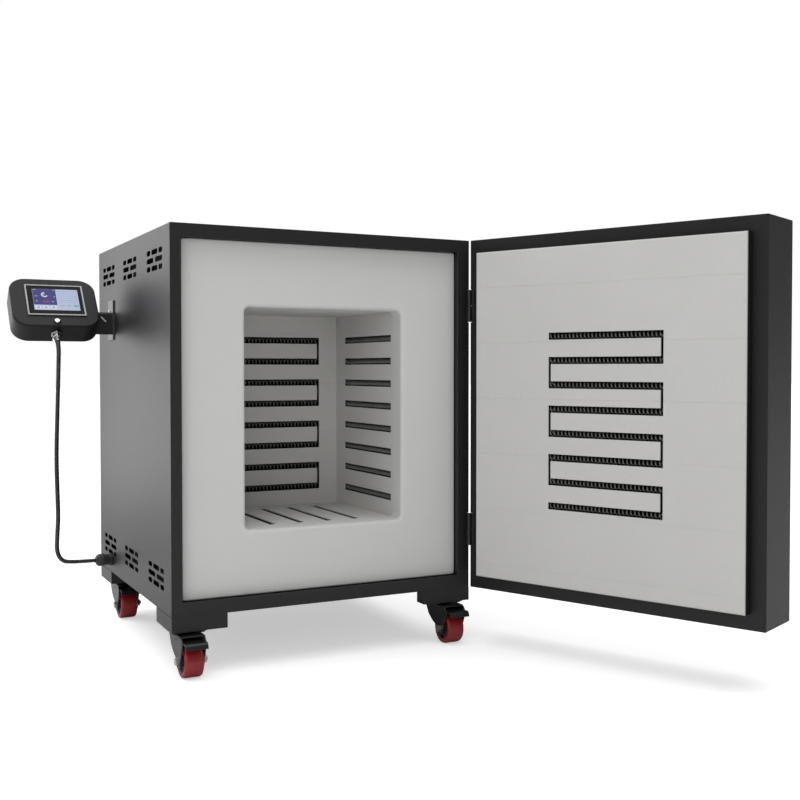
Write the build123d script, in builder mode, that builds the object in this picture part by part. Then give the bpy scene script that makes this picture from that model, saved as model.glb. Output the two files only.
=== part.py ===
from build123d import *
import os
from math import cos, pi, radians, sin, tan

# Front-loading pottery kiln on casters, in millimetres.
# Pieces are drawn with the cabinet's lower left front corner at (0, 0, 0): X right, Y back, Z up.
# The door is drawn closed and then opened to its rest angle. At the end everything is moved so that
# the origin is on the floor, under the middle of the whole machine.

os.makedirs("parts", exist_ok=True)

# --- driving dimensions -----------------------------------------------------------------------
BODY_W, BODY_D, BODY_H = 635, 630, 730
SHEET = 1.5
FRAME_SHEET = 2
OPENING_X, OPENING_Z = (21, 607.5), (27, 703.5)  # the frame's opening
FRAME_LIP = 4  # the frame plate reaches this far past its own return flange
RECESS = 20  # the pale face lies this far behind the frame's front
FACE_X, FACE_Z = (25.5, 611), (25.5, 705)  # the pale face
WALL = 150  # steel, air gap, board and brick together
BRICK = 114
COURSE = 112.7
JOINT_GAP = 0.15  # dry joint between bricks
CHAMBER_BACK = 355
COLLAR_BACK = 60
BULKHEAD_Y = 486
AIR_GAP = 12.5
LINER = 1.2

ROWS = 8
ROW_PITCH = 47.8
TOP_ROW_Z = 525
GROOVE_H, GROOVE_D = 14, 17
COIL_R, WIRE_R = 6.2, 1.25
CONNECTOR_W, CONNECTOR_D = 5.5, 11

DOOR_GAP = 5
DOOR_W, DOOR_T = 638.5, 113.4
DOOR_BORDER = 29
PLUG = 22.6  # the brick face stands this far out of the door
DOOR_EDGE_X = 633  # closed door, hinge side
OPEN_ANGLE = 113.3

HINGE_X, HINGE_Y = 634.5, -DOOR_GAP / 2
BARREL_R, PIN_R = 6, 3
HINGE_CENTRES = (122.5, 593)
HINGE_H = 67
LEAF_T = 2
LEAF_REACH = 12

FOOT_W, FOOT_D, FOOT_H = 107, 112, 28
FOOT_LEG = 32  # each foot is an angle of two legs this wide, with a post at its inner corner
TRAIL = 38  # the axle runs ahead of the swivel by this much
WHEEL_R, TREAD_W = 31.75, 37
WHEEL_BOTTOM = -114
AXLE_R = 4
RUNNING = 0.05

BOX_TILT = 41.8
BOX_W, BOX_H, BOX_T, BOX_R = 176, 140, 49, 34
BOX_WALL = 3
LID_T = 8
BOX_CENTRE = (-135, 420, 602)

WALL_GLAND = (0, 507, 31)
CONDUIT_R = 4.8
GLAND_LENGTH = 22
WALL_GLAND_REACH = 37

VENT_GROUPS = (113, 319.5, 524)  # centres along the depth
VENT_ROWS = ((686, 3), (670.5, 2), (654.5, 3), (77, 3), (61, 2), (45.5, 3))
VENT_H = 10

HINGE_AXIS = Axis((HINGE_X, HINGE_Y, 0), (0, 0, 1))
CHAMBER_X = (WALL, BODY_W - WALL)
CHAMBER_Z = (WALL, BODY_H - WALL)
BRICK_X = (WALL - BRICK, BODY_W - WALL + BRICK)
BRICK_Z = (WALL - BRICK, BODY_H - WALL + BRICK)
COURSES = [BRICK_Z[0]] + [90.3 + COURSE * course for course in range(6)] + [BRICK_Z[1]]
ROW_Z = [TOP_ROW_Z - ROW_PITCH * row for row in range(ROWS)]

pieces = {}


def block(x, y, z, mode=Mode.ADD):
    """A box between two places along each axis, in the part being built."""
    centre = [(pair[0] + pair[1]) / 2 for pair in (x, y, z)]
    with Locations(Location(centre)):
        Box(x[1] - x[0], y[1] - y[0], z[1] - z[0], mode=mode)


def rod(start, end, radius, mode=Mode.ADD):
    """A round rod between two points, in the part being built."""
    line = Vector(*end) - Vector(*start)
    with BuildSketch(Plane(origin=start, z_dir=line)) as section:
        Circle(radius)
    extrude(section.sketch, amount=line.length, mode=mode)


def holes(places, start_y, end_y, radius, mode=Mode.SUBTRACT):
    """Round holes, or rods, along the depth at several (x, z) places at once."""
    with BuildSketch(Plane.XZ.offset(-start_y)) as section:
        with Locations(*places):
            Circle(radius)
    extrude(section.sketch, amount=start_y - end_y, mode=mode)


def finish(name, builder):
    """Label a fixed piece and keep it for export."""
    builder.part.label = name
    pieces[name] = builder.part


def finish_on_door(name, builder):
    """Swing a piece that was drawn on the closed door out to the rest angle."""
    opened = builder.part.rotate(HINGE_AXIS, OPEN_ANGLE)
    opened.label = name
    pieces[name] = opened


# --- cabinet shell, frame, inner casing ---------------------------------------------------------
VENT_SLOTS = {3: ((-46, 28), (-1, 45), (45, 28)), 2: ((-32.5, 54), (33, 52))}
RETURN_FLANGE = 14
BEND_R = 2
NOTCH_R = BARREL_R + 1
BRACKET_SCREWS_Y, BRACKET_SCREWS_Z = 499, (550, 589)
COVER_SCREW_X = (7, BODY_W / 2, BODY_W - 7)
COVER_SCREW_Z = (7, 180, 365, 550, BODY_H - 7)
COVER_SCREWS = [
    (x, z) for x in COVER_SCREW_X for z in COVER_SCREW_Z if x != BODY_W / 2 or z in (7, BODY_H - 7)
]

with BuildPart() as cabinet_shell:
    block((0, BODY_W), (FRAME_SHEET, BODY_D - SHEET), (0, BODY_H))
    fillet(cabinet_shell.edges().filter_by(Axis.Y), radius=BEND_R)
    block(
        (SHEET, BODY_W - SHEET), (FRAME_SHEET, BODY_D - 2 * SHEET), (SHEET, BODY_H - SHEET),
        mode=Mode.SUBTRACT,
    )
    block(
        (RETURN_FLANGE, BODY_W - RETURN_FLANGE), (BODY_D - 3 * SHEET, BODY_D),
        (RETURN_FLANGE, BODY_H - RETURN_FLANGE), mode=Mode.SUBTRACT,
    )
    with BuildSketch(Plane.YZ.offset(-SHEET)):
        for vent_z, count in VENT_ROWS:
            for offset_y, length in VENT_SLOTS[count]:
                with Locations(*[(group_y + offset_y, vent_z) for group_y in VENT_GROUPS]):
                    RectangleRounded(length, VENT_H, VENT_H / 2 - 0.3)
    extrude(amount=BODY_W + 2 * SHEET, mode=Mode.SUBTRACT)
    for screw_z in BRACKET_SCREWS_Z:
        rod((-1, BRACKET_SCREWS_Y, screw_z), (5, BRACKET_SCREWS_Y, screw_z), 2.6, mode=Mode.SUBTRACT)
    rod((-1, WALL_GLAND[1], WALL_GLAND[2]), (5, WALL_GLAND[1], WALL_GLAND[2]), 9, mode=Mode.SUBTRACT)
    with Locations(*[(HINGE_X, HINGE_Y, centre_z) for centre_z in HINGE_CENTRES]):
        Cylinder(NOTCH_R, HINGE_H + 2, mode=Mode.SUBTRACT)
    holes(COVER_SCREWS, BODY_D - 5, BODY_D, 2)
finish("cabinet_shell", cabinet_shell)

FLANGE_X = (OPENING_X[0] - FRAME_LIP, OPENING_X[1] + FRAME_LIP)
FLANGE_Z = (OPENING_Z[0] - FRAME_LIP, OPENING_Z[1] + FRAME_LIP)

with BuildPart() as front_frame:
    block((0, BODY_W), (0, FRAME_SHEET), (0, BODY_H))
    fillet(front_frame.edges().filter_by(Axis.Y), radius=BEND_R)
    block(
        (FLANGE_X[0] - FRAME_SHEET, FLANGE_X[1] + FRAME_SHEET), (0, RECESS),
        (FLANGE_Z[0] - FRAME_SHEET, FLANGE_Z[1] + FRAME_SHEET),
    )
    block(FLANGE_X, (FRAME_SHEET, RECESS + 1), FLANGE_Z, mode=Mode.SUBTRACT)
    block(OPENING_X, (-1, FRAME_SHEET + 1), OPENING_Z, mode=Mode.SUBTRACT)
    chamfer(front_frame.faces().sort_by(Axis.Y)[0].edges(), length=0.5)
    for centre_z in HINGE_CENTRES:
        with Locations((HINGE_X, HINGE_Y, centre_z)):
            Cylinder(NOTCH_R, HINGE_H + 2, mode=Mode.SUBTRACT)
finish("front_frame", front_frame)

LINER_X = (SHEET + AIR_GAP, BODY_W - SHEET - AIR_GAP)
LINER_Z = (SHEET + AIR_GAP, BODY_H - SHEET - AIR_GAP)
BOARD_X = (LINER_X[0] + LINER, LINER_X[1] - LINER)
BOARD_Z = (LINER_Z[0] + LINER, LINER_Z[1] - LINER)

with BuildPart() as inner_casing:
    block(LINER_X, (RECESS, BULKHEAD_Y), LINER_Z)
    block(BOARD_X, (RECESS - 1, BULKHEAD_Y + 1), BOARD_Z, mode=Mode.SUBTRACT)
finish("inner_casing", inner_casing)

with BuildPart() as insulation_boards:
    block(BOARD_X, (COLLAR_BACK, BULKHEAD_Y), BOARD_Z)
    block(BRICK_X, (COLLAR_BACK - 1, CHAMBER_BACK + BRICK), BRICK_Z, mode=Mode.SUBTRACT)

# --- firebrick chamber ---------------------------------------------------------------------------
COLLAR_EDGE_R = 7
COLLAR_CORNER_R = 11

with BuildPart() as front_collar:
    block(FACE_X, (RECESS, COLLAR_BACK), FACE_Z)
    fillet(front_collar.edges().filter_by(Axis.Y), radius=5)
    with BuildSketch(Plane.XZ.offset(-RECESS)):
        with Locations((BODY_W / 2, BODY_H / 2)):
            RectangleRounded(BODY_W - 2 * WALL, BODY_H - 2 * WALL, COLLAR_CORNER_R)
    extrude(amount=-(COLLAR_BACK - RECESS), mode=Mode.SUBTRACT)
    mouth = front_collar.faces().sort_by(Axis.Y)[0]
    fillet(mouth.inner_wires()[0].edges(), radius=COLLAR_EDGE_R)
    fillet(front_collar.faces().sort_by(Axis.Y)[0].outer_wire().edges(), radius=2.5)
finish("front_collar", front_collar)

LEAD_R = 2
LEAD_HOLE_R = 3
SIDE_GROOVE_Y = (68.5, 307.5)
SIDE_COIL_DEPTH = 8.5
SIDE_LEADS_X = (CHAMBER_X[0] - SIDE_COIL_DEPTH, CHAMBER_X[1] + SIDE_COIL_DEPTH)
BACK_GROOVE_X = (193.5, 441.5)
FLOOR_SLOTS_X = (226, 287, 348, 409)
FLOOR_SLOT_Y = (75, 316)
FLOOR_SLOT_W = 13
FLOOR_COIL_Z = CHAMBER_Z[0] - 10
BACK_COIL_Y = CHAMBER_BACK + SIDE_COIL_DEPTH
LEAD_PLACES = [(x, z) for x in SIDE_LEADS_X for z in (ROW_Z[0], ROW_Z[-1])]
LEAD_PLACES += [(FLOOR_SLOTS_X[0], FLOOR_COIL_Z), (FLOOR_SLOTS_X[-1], FLOOR_COIL_Z)]
BACK_LEADS = [(BACK_GROOVE_X[0] + 3, ROW_Z[0]), (BACK_GROOVE_X[0] + 3, ROW_Z[-1])]
PROBE = (180, 470)
PROBE_R = 4


with insulation_boards:
    holes(LEAD_PLACES + BACK_LEADS, CHAMBER_BACK, BULKHEAD_Y + 1, LEAD_HOLE_R)
    holes([PROBE], CHAMBER_BACK, BULKHEAD_Y + 1, PROBE_R + 0.2)
finish("insulation_boards", insulation_boards)


def wall_courses(x, y, z):
    """Bricks laid in courses across a wall, with a dry joint between them."""
    joints = [z[0]] + [c for c in COURSES if z[0] < c < z[1]] + [z[1]]
    for low, high in zip(joints, joints[1:]):
        top = high - JOINT_GAP if high < z[1] else high
        block(x, y, (low, top))


def grooves(x, y):
    """One groove for each coil row, over the given width and depth."""
    centres = [((x[0] + x[1]) / 2, (y[0] + y[1]) / 2, z) for z in ROW_Z]
    with Locations(*centres):
        Box(x[1] - x[0], y[1] - y[0], GROOVE_H, mode=Mode.SUBTRACT)


def links(x, y, first_row):
    """The upright slots that join the rows in pairs, from first_row on."""
    middles = [(ROW_Z[row] + ROW_Z[row + 1]) / 2 for row in range(first_row, ROWS - 1, 2)]
    with Locations(*[((x[0] + x[1]) / 2, (y[0] + y[1]) / 2, z) for z in middles]):
        Box(x[1] - x[0], y[1] - y[0], ROW_PITCH, mode=Mode.SUBTRACT)


with BuildPart() as side_bricks:
    for side, wall_x in enumerate(((BRICK_X[0], CHAMBER_X[0]), (CHAMBER_X[1], BRICK_X[1]))):
        wall_courses(wall_x, (COLLAR_BACK, CHAMBER_BACK), CHAMBER_Z)
        face = wall_x[1] - GROOVE_D if side == 0 else wall_x[0]
        grooves((face, face + GROOVE_D), SIDE_GROOVE_Y)
        wire_x = (SIDE_LEADS_X[side] - 2, SIDE_LEADS_X[side] + 2)
        for end, end_y in enumerate((SIDE_GROOVE_Y[0], SIDE_GROOVE_Y[1] - CONNECTOR_W)):
            links(wire_x, (end_y, end_y + CONNECTOR_W), end)
    holes(LEAD_PLACES[:4], SIDE_GROOVE_Y[1], CHAMBER_BACK, LEAD_HOLE_R)
finish("side_bricks", side_bricks)

BACK_COLUMNS = [BRICK_X[0], 166, 395, BRICK_X[1]]

with BuildPart() as back_bricks:
    for left, right in zip(BACK_COLUMNS, BACK_COLUMNS[1:]):
        edge = right - JOINT_GAP if right < BRICK_X[1] else right
        wall_courses((left, edge), (CHAMBER_BACK, CHAMBER_BACK + BRICK), BRICK_Z)
    grooves(BACK_GROOVE_X, (CHAMBER_BACK, CHAMBER_BACK + GROOVE_D))
    for end, end_x in enumerate((BACK_GROOVE_X[1] - CONNECTOR_W, BACK_GROOVE_X[0])):
        links((end_x, end_x + CONNECTOR_W), (CHAMBER_BACK, CHAMBER_BACK + CONNECTOR_D), end)
    holes(LEAD_PLACES + BACK_LEADS, CHAMBER_BACK - 1, CHAMBER_BACK + BRICK + 1, LEAD_HOLE_R)
    holes([PROBE], CHAMBER_BACK - 1, CHAMBER_BACK + BRICK + 1, PROBE_R + 0.2)
finish("back_bricks", back_bricks)

ROOF_COLUMNS = [BRICK_X[0], 203, 432, BRICK_X[1]]

with BuildPart() as roof_bricks:
    for left, right in zip(ROOF_COLUMNS, ROOF_COLUMNS[1:]):
        edge = right - JOINT_GAP if right < BRICK_X[1] else right
        block((left, edge), (COLLAR_BACK, CHAMBER_BACK), (CHAMBER_Z[1], BRICK_Z[1]))
finish("roof_bricks", roof_bricks)

with BuildPart() as floor_bricks:
    for left, right in zip(ROOF_COLUMNS, ROOF_COLUMNS[1:]):
        edge = right - JOINT_GAP if right < BRICK_X[1] else right
        block((left, edge), (COLLAR_BACK, CHAMBER_BACK), (BRICK_Z[0], CHAMBER_Z[0]))
    for x in FLOOR_SLOTS_X:
        block(
            (x - FLOOR_SLOT_W / 2, x + FLOOR_SLOT_W / 2), FLOOR_SLOT_Y,
            (CHAMBER_Z[0] - GROOVE_D, CHAMBER_Z[0]), mode=Mode.SUBTRACT,
        )
    for end, end_y in enumerate((FLOOR_SLOT_Y[0], FLOOR_SLOT_Y[1] - CONNECTOR_W)):
        for slot in range(end, len(FLOOR_SLOTS_X) - 1, 2):
            block(
                (FLOOR_SLOTS_X[slot], FLOOR_SLOTS_X[slot + 1]), (end_y, end_y + CONNECTOR_W),
                (FLOOR_COIL_Z - 2, FLOOR_COIL_Z + 2), mode=Mode.SUBTRACT,
            )
    holes(LEAD_PLACES[4:], FLOOR_SLOT_Y[1], CHAMBER_BACK, LEAD_HOLE_R)
finish("floor_bricks", floor_bricks)

# --- heating elements: each coil is its outer envelope --------------------------------------------
COIL_CLEAR = 1.5
LEAD_END_Y = BULKHEAD_Y + 22


def serpentine(ends, rows, first_link):
    """Parallel coils whose neighbours are joined by plain wire at alternate ends.

    ends is a function of the row that gives the two ends of its coil; rows is the row count.
    """
    for row in range(rows):
        start, end = ends(row)
        rod(start, end, COIL_R)
    for row in range(rows - 1):
        side = (row + first_link) % 2
        upper, lower = ends(row)[side], ends(row + 1)[side]
        inward = 1 if side == 0 else -1
        along = (Vector(*ends(row)[1]) - Vector(*ends(row)[0])).normalized() * (inward * 2 * WIRE_R)
        rod(tuple(Vector(*upper) + along), tuple(Vector(*lower) + along), WIRE_R)


def side_ends(x):
    low, high = SIDE_GROOVE_Y[0] + COIL_CLEAR, SIDE_GROOVE_Y[1] - COIL_CLEAR
    return lambda row: ((x, high, ROW_Z[row]), (x, low, ROW_Z[row]))


with BuildPart() as side_elements:
    for x in SIDE_LEADS_X:
        serpentine(side_ends(x), ROWS, 1)
        for z in (ROW_Z[0], ROW_Z[-1]):
            rod((x, SIDE_GROOVE_Y[1] - 12, z), (x, LEAD_END_Y, z), LEAD_R)
finish("side_elements", side_elements)


def back_ends(row):
    z = ROW_Z[row]
    return (
        (BACK_GROOVE_X[0] + COIL_CLEAR, BACK_COIL_Y, z),
        (BACK_GROOVE_X[1] - COIL_CLEAR, BACK_COIL_Y, z),
    )


with BuildPart() as back_element:
    serpentine(back_ends, ROWS, 1)
    holes(BACK_LEADS, BACK_COIL_Y, LEAD_END_Y, LEAD_R, mode=Mode.ADD)
finish("back_element", back_element)


def floor_ends(slot):
    x = FLOOR_SLOTS_X[slot]
    return (
        (x, FLOOR_SLOT_Y[1] - COIL_CLEAR, FLOOR_COIL_Z),
        (x, FLOOR_SLOT_Y[0] + COIL_CLEAR, FLOOR_COIL_Z),
    )


with BuildPart() as floor_element:
    serpentine(floor_ends, len(FLOOR_SLOTS_X), 1)
    for x in (FLOOR_SLOTS_X[0], FLOOR_SLOTS_X[-1]):
        rod((x, FLOOR_SLOT_Y[1] - 12, FLOOR_COIL_Z), (x, LEAD_END_Y, FLOOR_COIL_Z), LEAD_R)
finish("floor_element", floor_element)

# --- electrical compartment ----------------------------------------------------------------------
BUSHING_R = 8
BULKHEAD_FACE = BULKHEAD_Y + SHEET

with BuildPart() as bulkhead:
    block((SHEET, BODY_W - SHEET), (BULKHEAD_Y, BULKHEAD_FACE), (SHEET, BODY_H - SHEET))
    holes(LEAD_PLACES + BACK_LEADS, BULKHEAD_Y - 1, BULKHEAD_FACE + 1, LEAD_HOLE_R + 1)
    holes([PROBE], BULKHEAD_Y - 1, BULKHEAD_FACE + 1, PROBE_R + 0.2)
finish("bulkhead", bulkhead)

with BuildPart() as element_terminals:
    holes(LEAD_PLACES + BACK_LEADS, BULKHEAD_FACE, BULKHEAD_FACE + 16, BUSHING_R, mode=Mode.ADD)
    holes(LEAD_PLACES + BACK_LEADS, BULKHEAD_Y, BULKHEAD_FACE + 20, LEAD_R + 0.1)
finish("element_terminals", element_terminals)

with BuildPart() as thermocouple:
    rod((PROBE[0], CHAMBER_BACK - 28, PROBE[1]), (PROBE[0], BULKHEAD_FACE, PROBE[1]), PROBE_R)
    rod((PROBE[0], BULKHEAD_FACE, PROBE[1]), (PROBE[0], BULKHEAD_FACE + 24, PROBE[1]), 15)
finish("thermocouple", thermocouple)

TERMINAL_PITCH = 16
with BuildPart() as terminal_block:
    block((420, 420 + 6 * TERMINAL_PITCH), (BULKHEAD_FACE, BULKHEAD_FACE + 18), (80, 112))
    with GridLocations(TERMINAL_PITCH, 1, 6, 1) as cells:
        screw_places = [(468 + place.position.X, 96) for place in cells.locations]
    for x, z in screw_places:
        rod((x, BULKHEAD_FACE + 18, z), (x, BULKHEAD_FACE + 10, z), 4, mode=Mode.SUBTRACT)
finish("terminal_block", terminal_block)

with BuildPart() as relays:
    for x in (300, 360, 420):
        block((x, x + 45), (BULKHEAD_FACE, BULKHEAD_FACE + 6), (300, 380))
        block((x, x + 45), (BULKHEAD_FACE + 6, BULKHEAD_FACE + 30), (311, 369))
        for slot_z in (303, 373):
            block((x + 17, x + 28), (BULKHEAD_FACE - 1, BULKHEAD_FACE + 7), (slot_z, slot_z + 4),
                  mode=Mode.SUBTRACT)
finish("relays", relays)

CABLE_ENTRY = (560, 70)
CABLE_ENTRY_R = 6

with BuildPart() as rear_cover:
    block((0, BODY_W), (BODY_D - SHEET, BODY_D), (0, BODY_H))
    fillet(rear_cover.edges().filter_by(Axis.Y), radius=BEND_R)
    with BuildSketch(Plane.XZ.offset(-BODY_D - 1)):
        for louvre_z in (565, 135):
            with Locations((BODY_W / 2, louvre_z)):
                with GridLocations(127.5, 14, 3, 6):
                    SlotOverall(100, 5)
    extrude(amount=4, mode=Mode.SUBTRACT)
    holes(COVER_SCREWS, BODY_D - 3, BODY_D + 1, 2.2)
    holes([CABLE_ENTRY], BODY_D - 3, BODY_D + 1, 10)
finish("rear_cover", rear_cover)

with BuildPart() as rear_cover_screws:
    holes(COVER_SCREWS, BODY_D - 8, BODY_D, 1.9, mode=Mode.ADD)
    holes(COVER_SCREWS, BODY_D, BODY_D + 2.4, 4, mode=Mode.ADD)
    fillet(rear_cover_screws.edges().filter_by(GeomType.CIRCLE).group_by(Axis.Y)[-1], radius=1.2)
finish("rear_cover_screws", rear_cover_screws)

with BuildPart() as mains_gland:
    with BuildSketch(Plane.XZ.offset(-BODY_D)):
        with Locations(CABLE_ENTRY):
            RegularPolygon(14, 6)
    extrude(amount=-8)
    rod((CABLE_ENTRY[0], BODY_D - 12, CABLE_ENTRY[1]), (CABLE_ENTRY[0], BODY_D + 24, CABLE_ENTRY[1]), 9.8)
    with BuildSketch(Plane.XZ.offset(-BODY_D + SHEET)):
        with Locations(CABLE_ENTRY):
            RegularPolygon(14, 6)
    extrude(amount=5)
    chamfer(mains_gland.faces().sort_by(Axis.Y)[-1].edges(), length=2)
    rod((CABLE_ENTRY[0], BODY_D - 13, CABLE_ENTRY[1]), (CABLE_ENTRY[0], BODY_D + 25, CABLE_ENTRY[1]),
        CABLE_ENTRY_R, mode=Mode.SUBTRACT)
finish("mains_gland", mains_gland)

# --- feet and casters ----------------------------------------------------------------------------
CASTERS = {
    "front_left": (36, 43),
    "front_right": (BODY_W - 44.5, 43),
    "rear_left": (40.5, BODY_D - 43),
    "rear_right": (BODY_W - 41, BODY_D - 43),
}
PLATE_W, PLATE_D, PLATE_T = 68, 76, 2.5
PLATE_BOLT_X, PLATE_BOLT_Y = 26, 29
PLATE_BOTTOM = -FOOT_H - PLATE_T
STEM_R = 5
CROWN_TOP, CROWN_BOTTOM = -36.5, -39
AXLE_Z = WHEEL_BOTTOM + WHEEL_R
CHEEK_IN, CHEEK_OUT = 21, 23.5
PEDAL_HALF = 21.5
BOSS_R = 14.5
PEDAL_PIVOT = (-24, -44)  # ahead of the swivel, and height
BOLT_PLACES = [(dx * PLATE_BOLT_X, dy * PLATE_BOLT_Y) for dx in (-1, 1) for dy in (-1, 1)]

with BuildPart() as foot_blocks:
    for side, (stem_x, stem_y) in zip(
        ((0, 0), (1, 0), (0, 1), (1, 1)), CASTERS.values()
    ):
        x = (BODY_W - FOOT_W, BODY_W) if side[0] else (0, FOOT_W)
        y = (BODY_D - FOOT_D, BODY_D) if side[1] else (0, FOOT_D)
        leg_x = (BODY_W - FOOT_LEG, BODY_W) if side[0] else (0, FOOT_LEG)
        leg_y = (BODY_D - FOOT_LEG, BODY_D) if side[1] else (0, FOOT_LEG)
        block(x, leg_y, (-FOOT_H, 0))
        block(leg_x, y, (-FOOT_H, 0))
        post_x = stem_x + (-PLATE_BOLT_X if side[0] else PLATE_BOLT_X)
        post_y = stem_y + (-PLATE_BOLT_Y if side[1] else PLATE_BOLT_Y)
        rod((post_x, post_y, -FOOT_H), (post_x, post_y, 0), 9)
    for stem_x, stem_y in CASTERS.values():
        with Locations((stem_x, stem_y, -FOOT_H)):
            with Locations(*BOLT_PLACES):
                Cylinder(3.1, 40, mode=Mode.SUBTRACT)
finish("foot_blocks", foot_blocks)

with BuildPart() as caster_plates:
    for stem_x, stem_y in CASTERS.values():
        with BuildSketch(Plane.XY.offset(PLATE_BOTTOM)):
            with Locations((stem_x, stem_y)):
                RectangleRounded(PLATE_W, PLATE_D, 6)
        extrude(amount=PLATE_T)
        rod((stem_x, stem_y, PLATE_BOTTOM), (stem_x, stem_y, CROWN_BOTTOM - 0.6), STEM_R)
        rod((stem_x, stem_y, CROWN_BOTTOM - 0.4), (stem_x, stem_y, CROWN_BOTTOM - 3.4), STEM_R + 4)
        with Locations((stem_x, stem_y, PLATE_BOTTOM)):
            with Locations(*BOLT_PLACES):
                Cylinder(3.1, 6, mode=Mode.SUBTRACT)
finish("caster_plates", caster_plates)

with BuildPart() as caster_bolts:
    for stem_x, stem_y in CASTERS.values():
        with BuildSketch(Plane.XY.offset(PLATE_BOTTOM)):
            with Locations((stem_x, stem_y)):
                with Locations(*BOLT_PLACES):
                    RegularPolygon(5.2, 6)
        extrude(amount=-3)
        with BuildSketch(Plane.XY.offset(PLATE_BOTTOM)):
            with Locations((stem_x, stem_y)):
                with Locations(*BOLT_PLACES):
                    Circle(3)
        extrude(amount=18)
finish("caster_bolts", caster_bolts)


def cheek_outline(y):
    """The side plate of a fork, seen from the side: wide at the crown, a boss round the axle."""
    crown = [(y + 26, CROWN_TOP), (y - 58, CROWN_TOP), (y - 65, -44), (y - 63, -56)]
    boss = [(y - TRAIL - BOSS_R, AXLE_Z), (y - TRAIL + BOSS_R - 1, AXLE_Z + 3)]
    rear = [(y - 6, -71), (y + 10, -60), (y + 18, -47)]
    Polyline(*crown, *boss, *rear, close=True)


def fork(name, x, y):
    with BuildPart() as builder:
        for side in (-1, 1):
            inner, outer = sorted((x + side * CHEEK_IN, x + side * CHEEK_OUT))
            with BuildSketch(Plane.YZ.offset(inner)):
                with BuildLine():
                    cheek_outline(y)
                make_face()
                with Locations((y - TRAIL, AXLE_Z)):
                    Circle(BOSS_R)
            extrude(amount=outer - inner)
        block((x - CHEEK_OUT, x + CHEEK_OUT), (y - 12, y + 26), (CROWN_BOTTOM, CROWN_TOP))
        rod((x, y, CROWN_TOP), (x, y, PLATE_BOTTOM - 0.5), 23)
        rod((x, y, PLATE_BOTTOM), (x, y, CROWN_BOTTOM - 1), STEM_R + RUNNING, mode=Mode.SUBTRACT)
        span = 2 * CHEEK_OUT
        for place, radius in (((y - TRAIL, AXLE_Z), AXLE_R + 0.1),
                              ((y + PEDAL_PIVOT[0], PEDAL_PIVOT[1]), 2.5 + RUNNING)):
            rod((x - span, *place), (x + span, *place), radius, mode=Mode.SUBTRACT)
    finish(f"{name}_fork", builder)


def pedal(name, x, y):
    """A brake pedal: a folded plate over the wheel on its own pin, with a shoe above the tread."""
    with BuildPart() as builder:
        with BuildSketch(Plane.YZ.offset(x - CHEEK_IN + 1)):
            with BuildLine():
                Line((y - 17, -42), (y - 72, -44.8))
            trace(line_width=2.6)
        extrude(amount=2 * CHEEK_IN - 2)
        with BuildSketch(Plane.YZ.offset(x - PEDAL_HALF)):
            with BuildLine():
                FilletPolyline((y - 66.5, -44.5), (y - 80, -42.5), (y - 84, -53), radius=6)
            trace(line_width=2.6)
        extrude(amount=2 * PEDAL_HALF)
        block((x - 8, x + 8), (y - 57, y - 53), (-50, -43.5))
        pin = (y + PEDAL_PIVOT[0], PEDAL_PIVOT[1])
        rod((x - CHEEK_OUT - 0.6, *pin), (x + CHEEK_OUT + 0.6, *pin), 2.5)
    finish(f"{name}_brake_pedal", builder)


def wheel(name, x, y):
    with BuildPart() as builder:
        with BuildSketch(Plane.YZ.offset(x - TREAD_W / 2)):
            with Locations((y - TRAIL, AXLE_Z)):
                Circle(WHEEL_R)
        extrude(amount=TREAD_W)
        rims = builder.edges().filter_by(GeomType.CIRCLE)
        fillet(rims, radius=3.5)
        for side in (-1, 1):
            face = x + side * TREAD_W / 2
            rod((face - side * 4, y - TRAIL, AXLE_Z), (face, y - TRAIL, AXLE_Z), 23, mode=Mode.SUBTRACT)
            rod((face - side * 5, y - TRAIL, AXLE_Z), (face + side * 1.3, y - TRAIL, AXLE_Z), 9)
        rod((x - TREAD_W, y - TRAIL, AXLE_Z), (x + TREAD_W, y - TRAIL, AXLE_Z), AXLE_R + RUNNING,
            mode=Mode.SUBTRACT)
    finish(f"{name}_wheel", builder)


def axle(name, x, y):
    """A hex bolt from the left with its nut on the right."""
    with BuildPart() as builder:
        rod((x - CHEEK_OUT, y - TRAIL, AXLE_Z), (x + CHEEK_OUT + 9, y - TRAIL, AXLE_Z), AXLE_R)
        for start, length in ((x - CHEEK_OUT - 5.3, 5.3), (x + CHEEK_OUT, 6.5)):
            with BuildSketch(Plane.YZ.offset(start)):
                with Locations((y - TRAIL, AXLE_Z)):
                    RegularPolygon(7.5, 6)
            extrude(amount=length)
    finish(f"{name}_axle_bolt", builder)


for caster, (stem_x, stem_y) in CASTERS.items():
    fork(caster, stem_x, stem_y)
    pedal(caster, stem_x, stem_y)
    wheel(caster, stem_x, stem_y)
    axle(caster, stem_x, stem_y)

# --- control box on its bracket ------------------------------------------------------------------
TILT_Y, TILT_Z = sin(radians(BOX_TILT)), cos(radians(BOX_TILT))
FACE_NORMAL = (0, -TILT_Z, TILT_Y)
FACE = Plane(origin=BOX_CENTRE, x_dir=(1, 0, 0), z_dir=FACE_NORMAL)
BEZEL_AT, BEZEL_W, BEZEL_H = (2, 4.5), 119, 90
BEZEL_RIM, BEZEL_PROUD = 4, 2.5
SCREEN_W, SCREEN_H = BEZEL_W - 2 * BEZEL_RIM, BEZEL_H - 2 * BEZEL_RIM
BUTTON_AT, BUTTON_R, BUTTON_TRAVEL = (-0.6, -56.5), 6, 1.8
GLAND_X = -2  # the gland's place along the box's underside


def on_face(depth):
    """The plane of the box's face, moved inwards by depth."""
    return FACE.offset(-depth)


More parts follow.
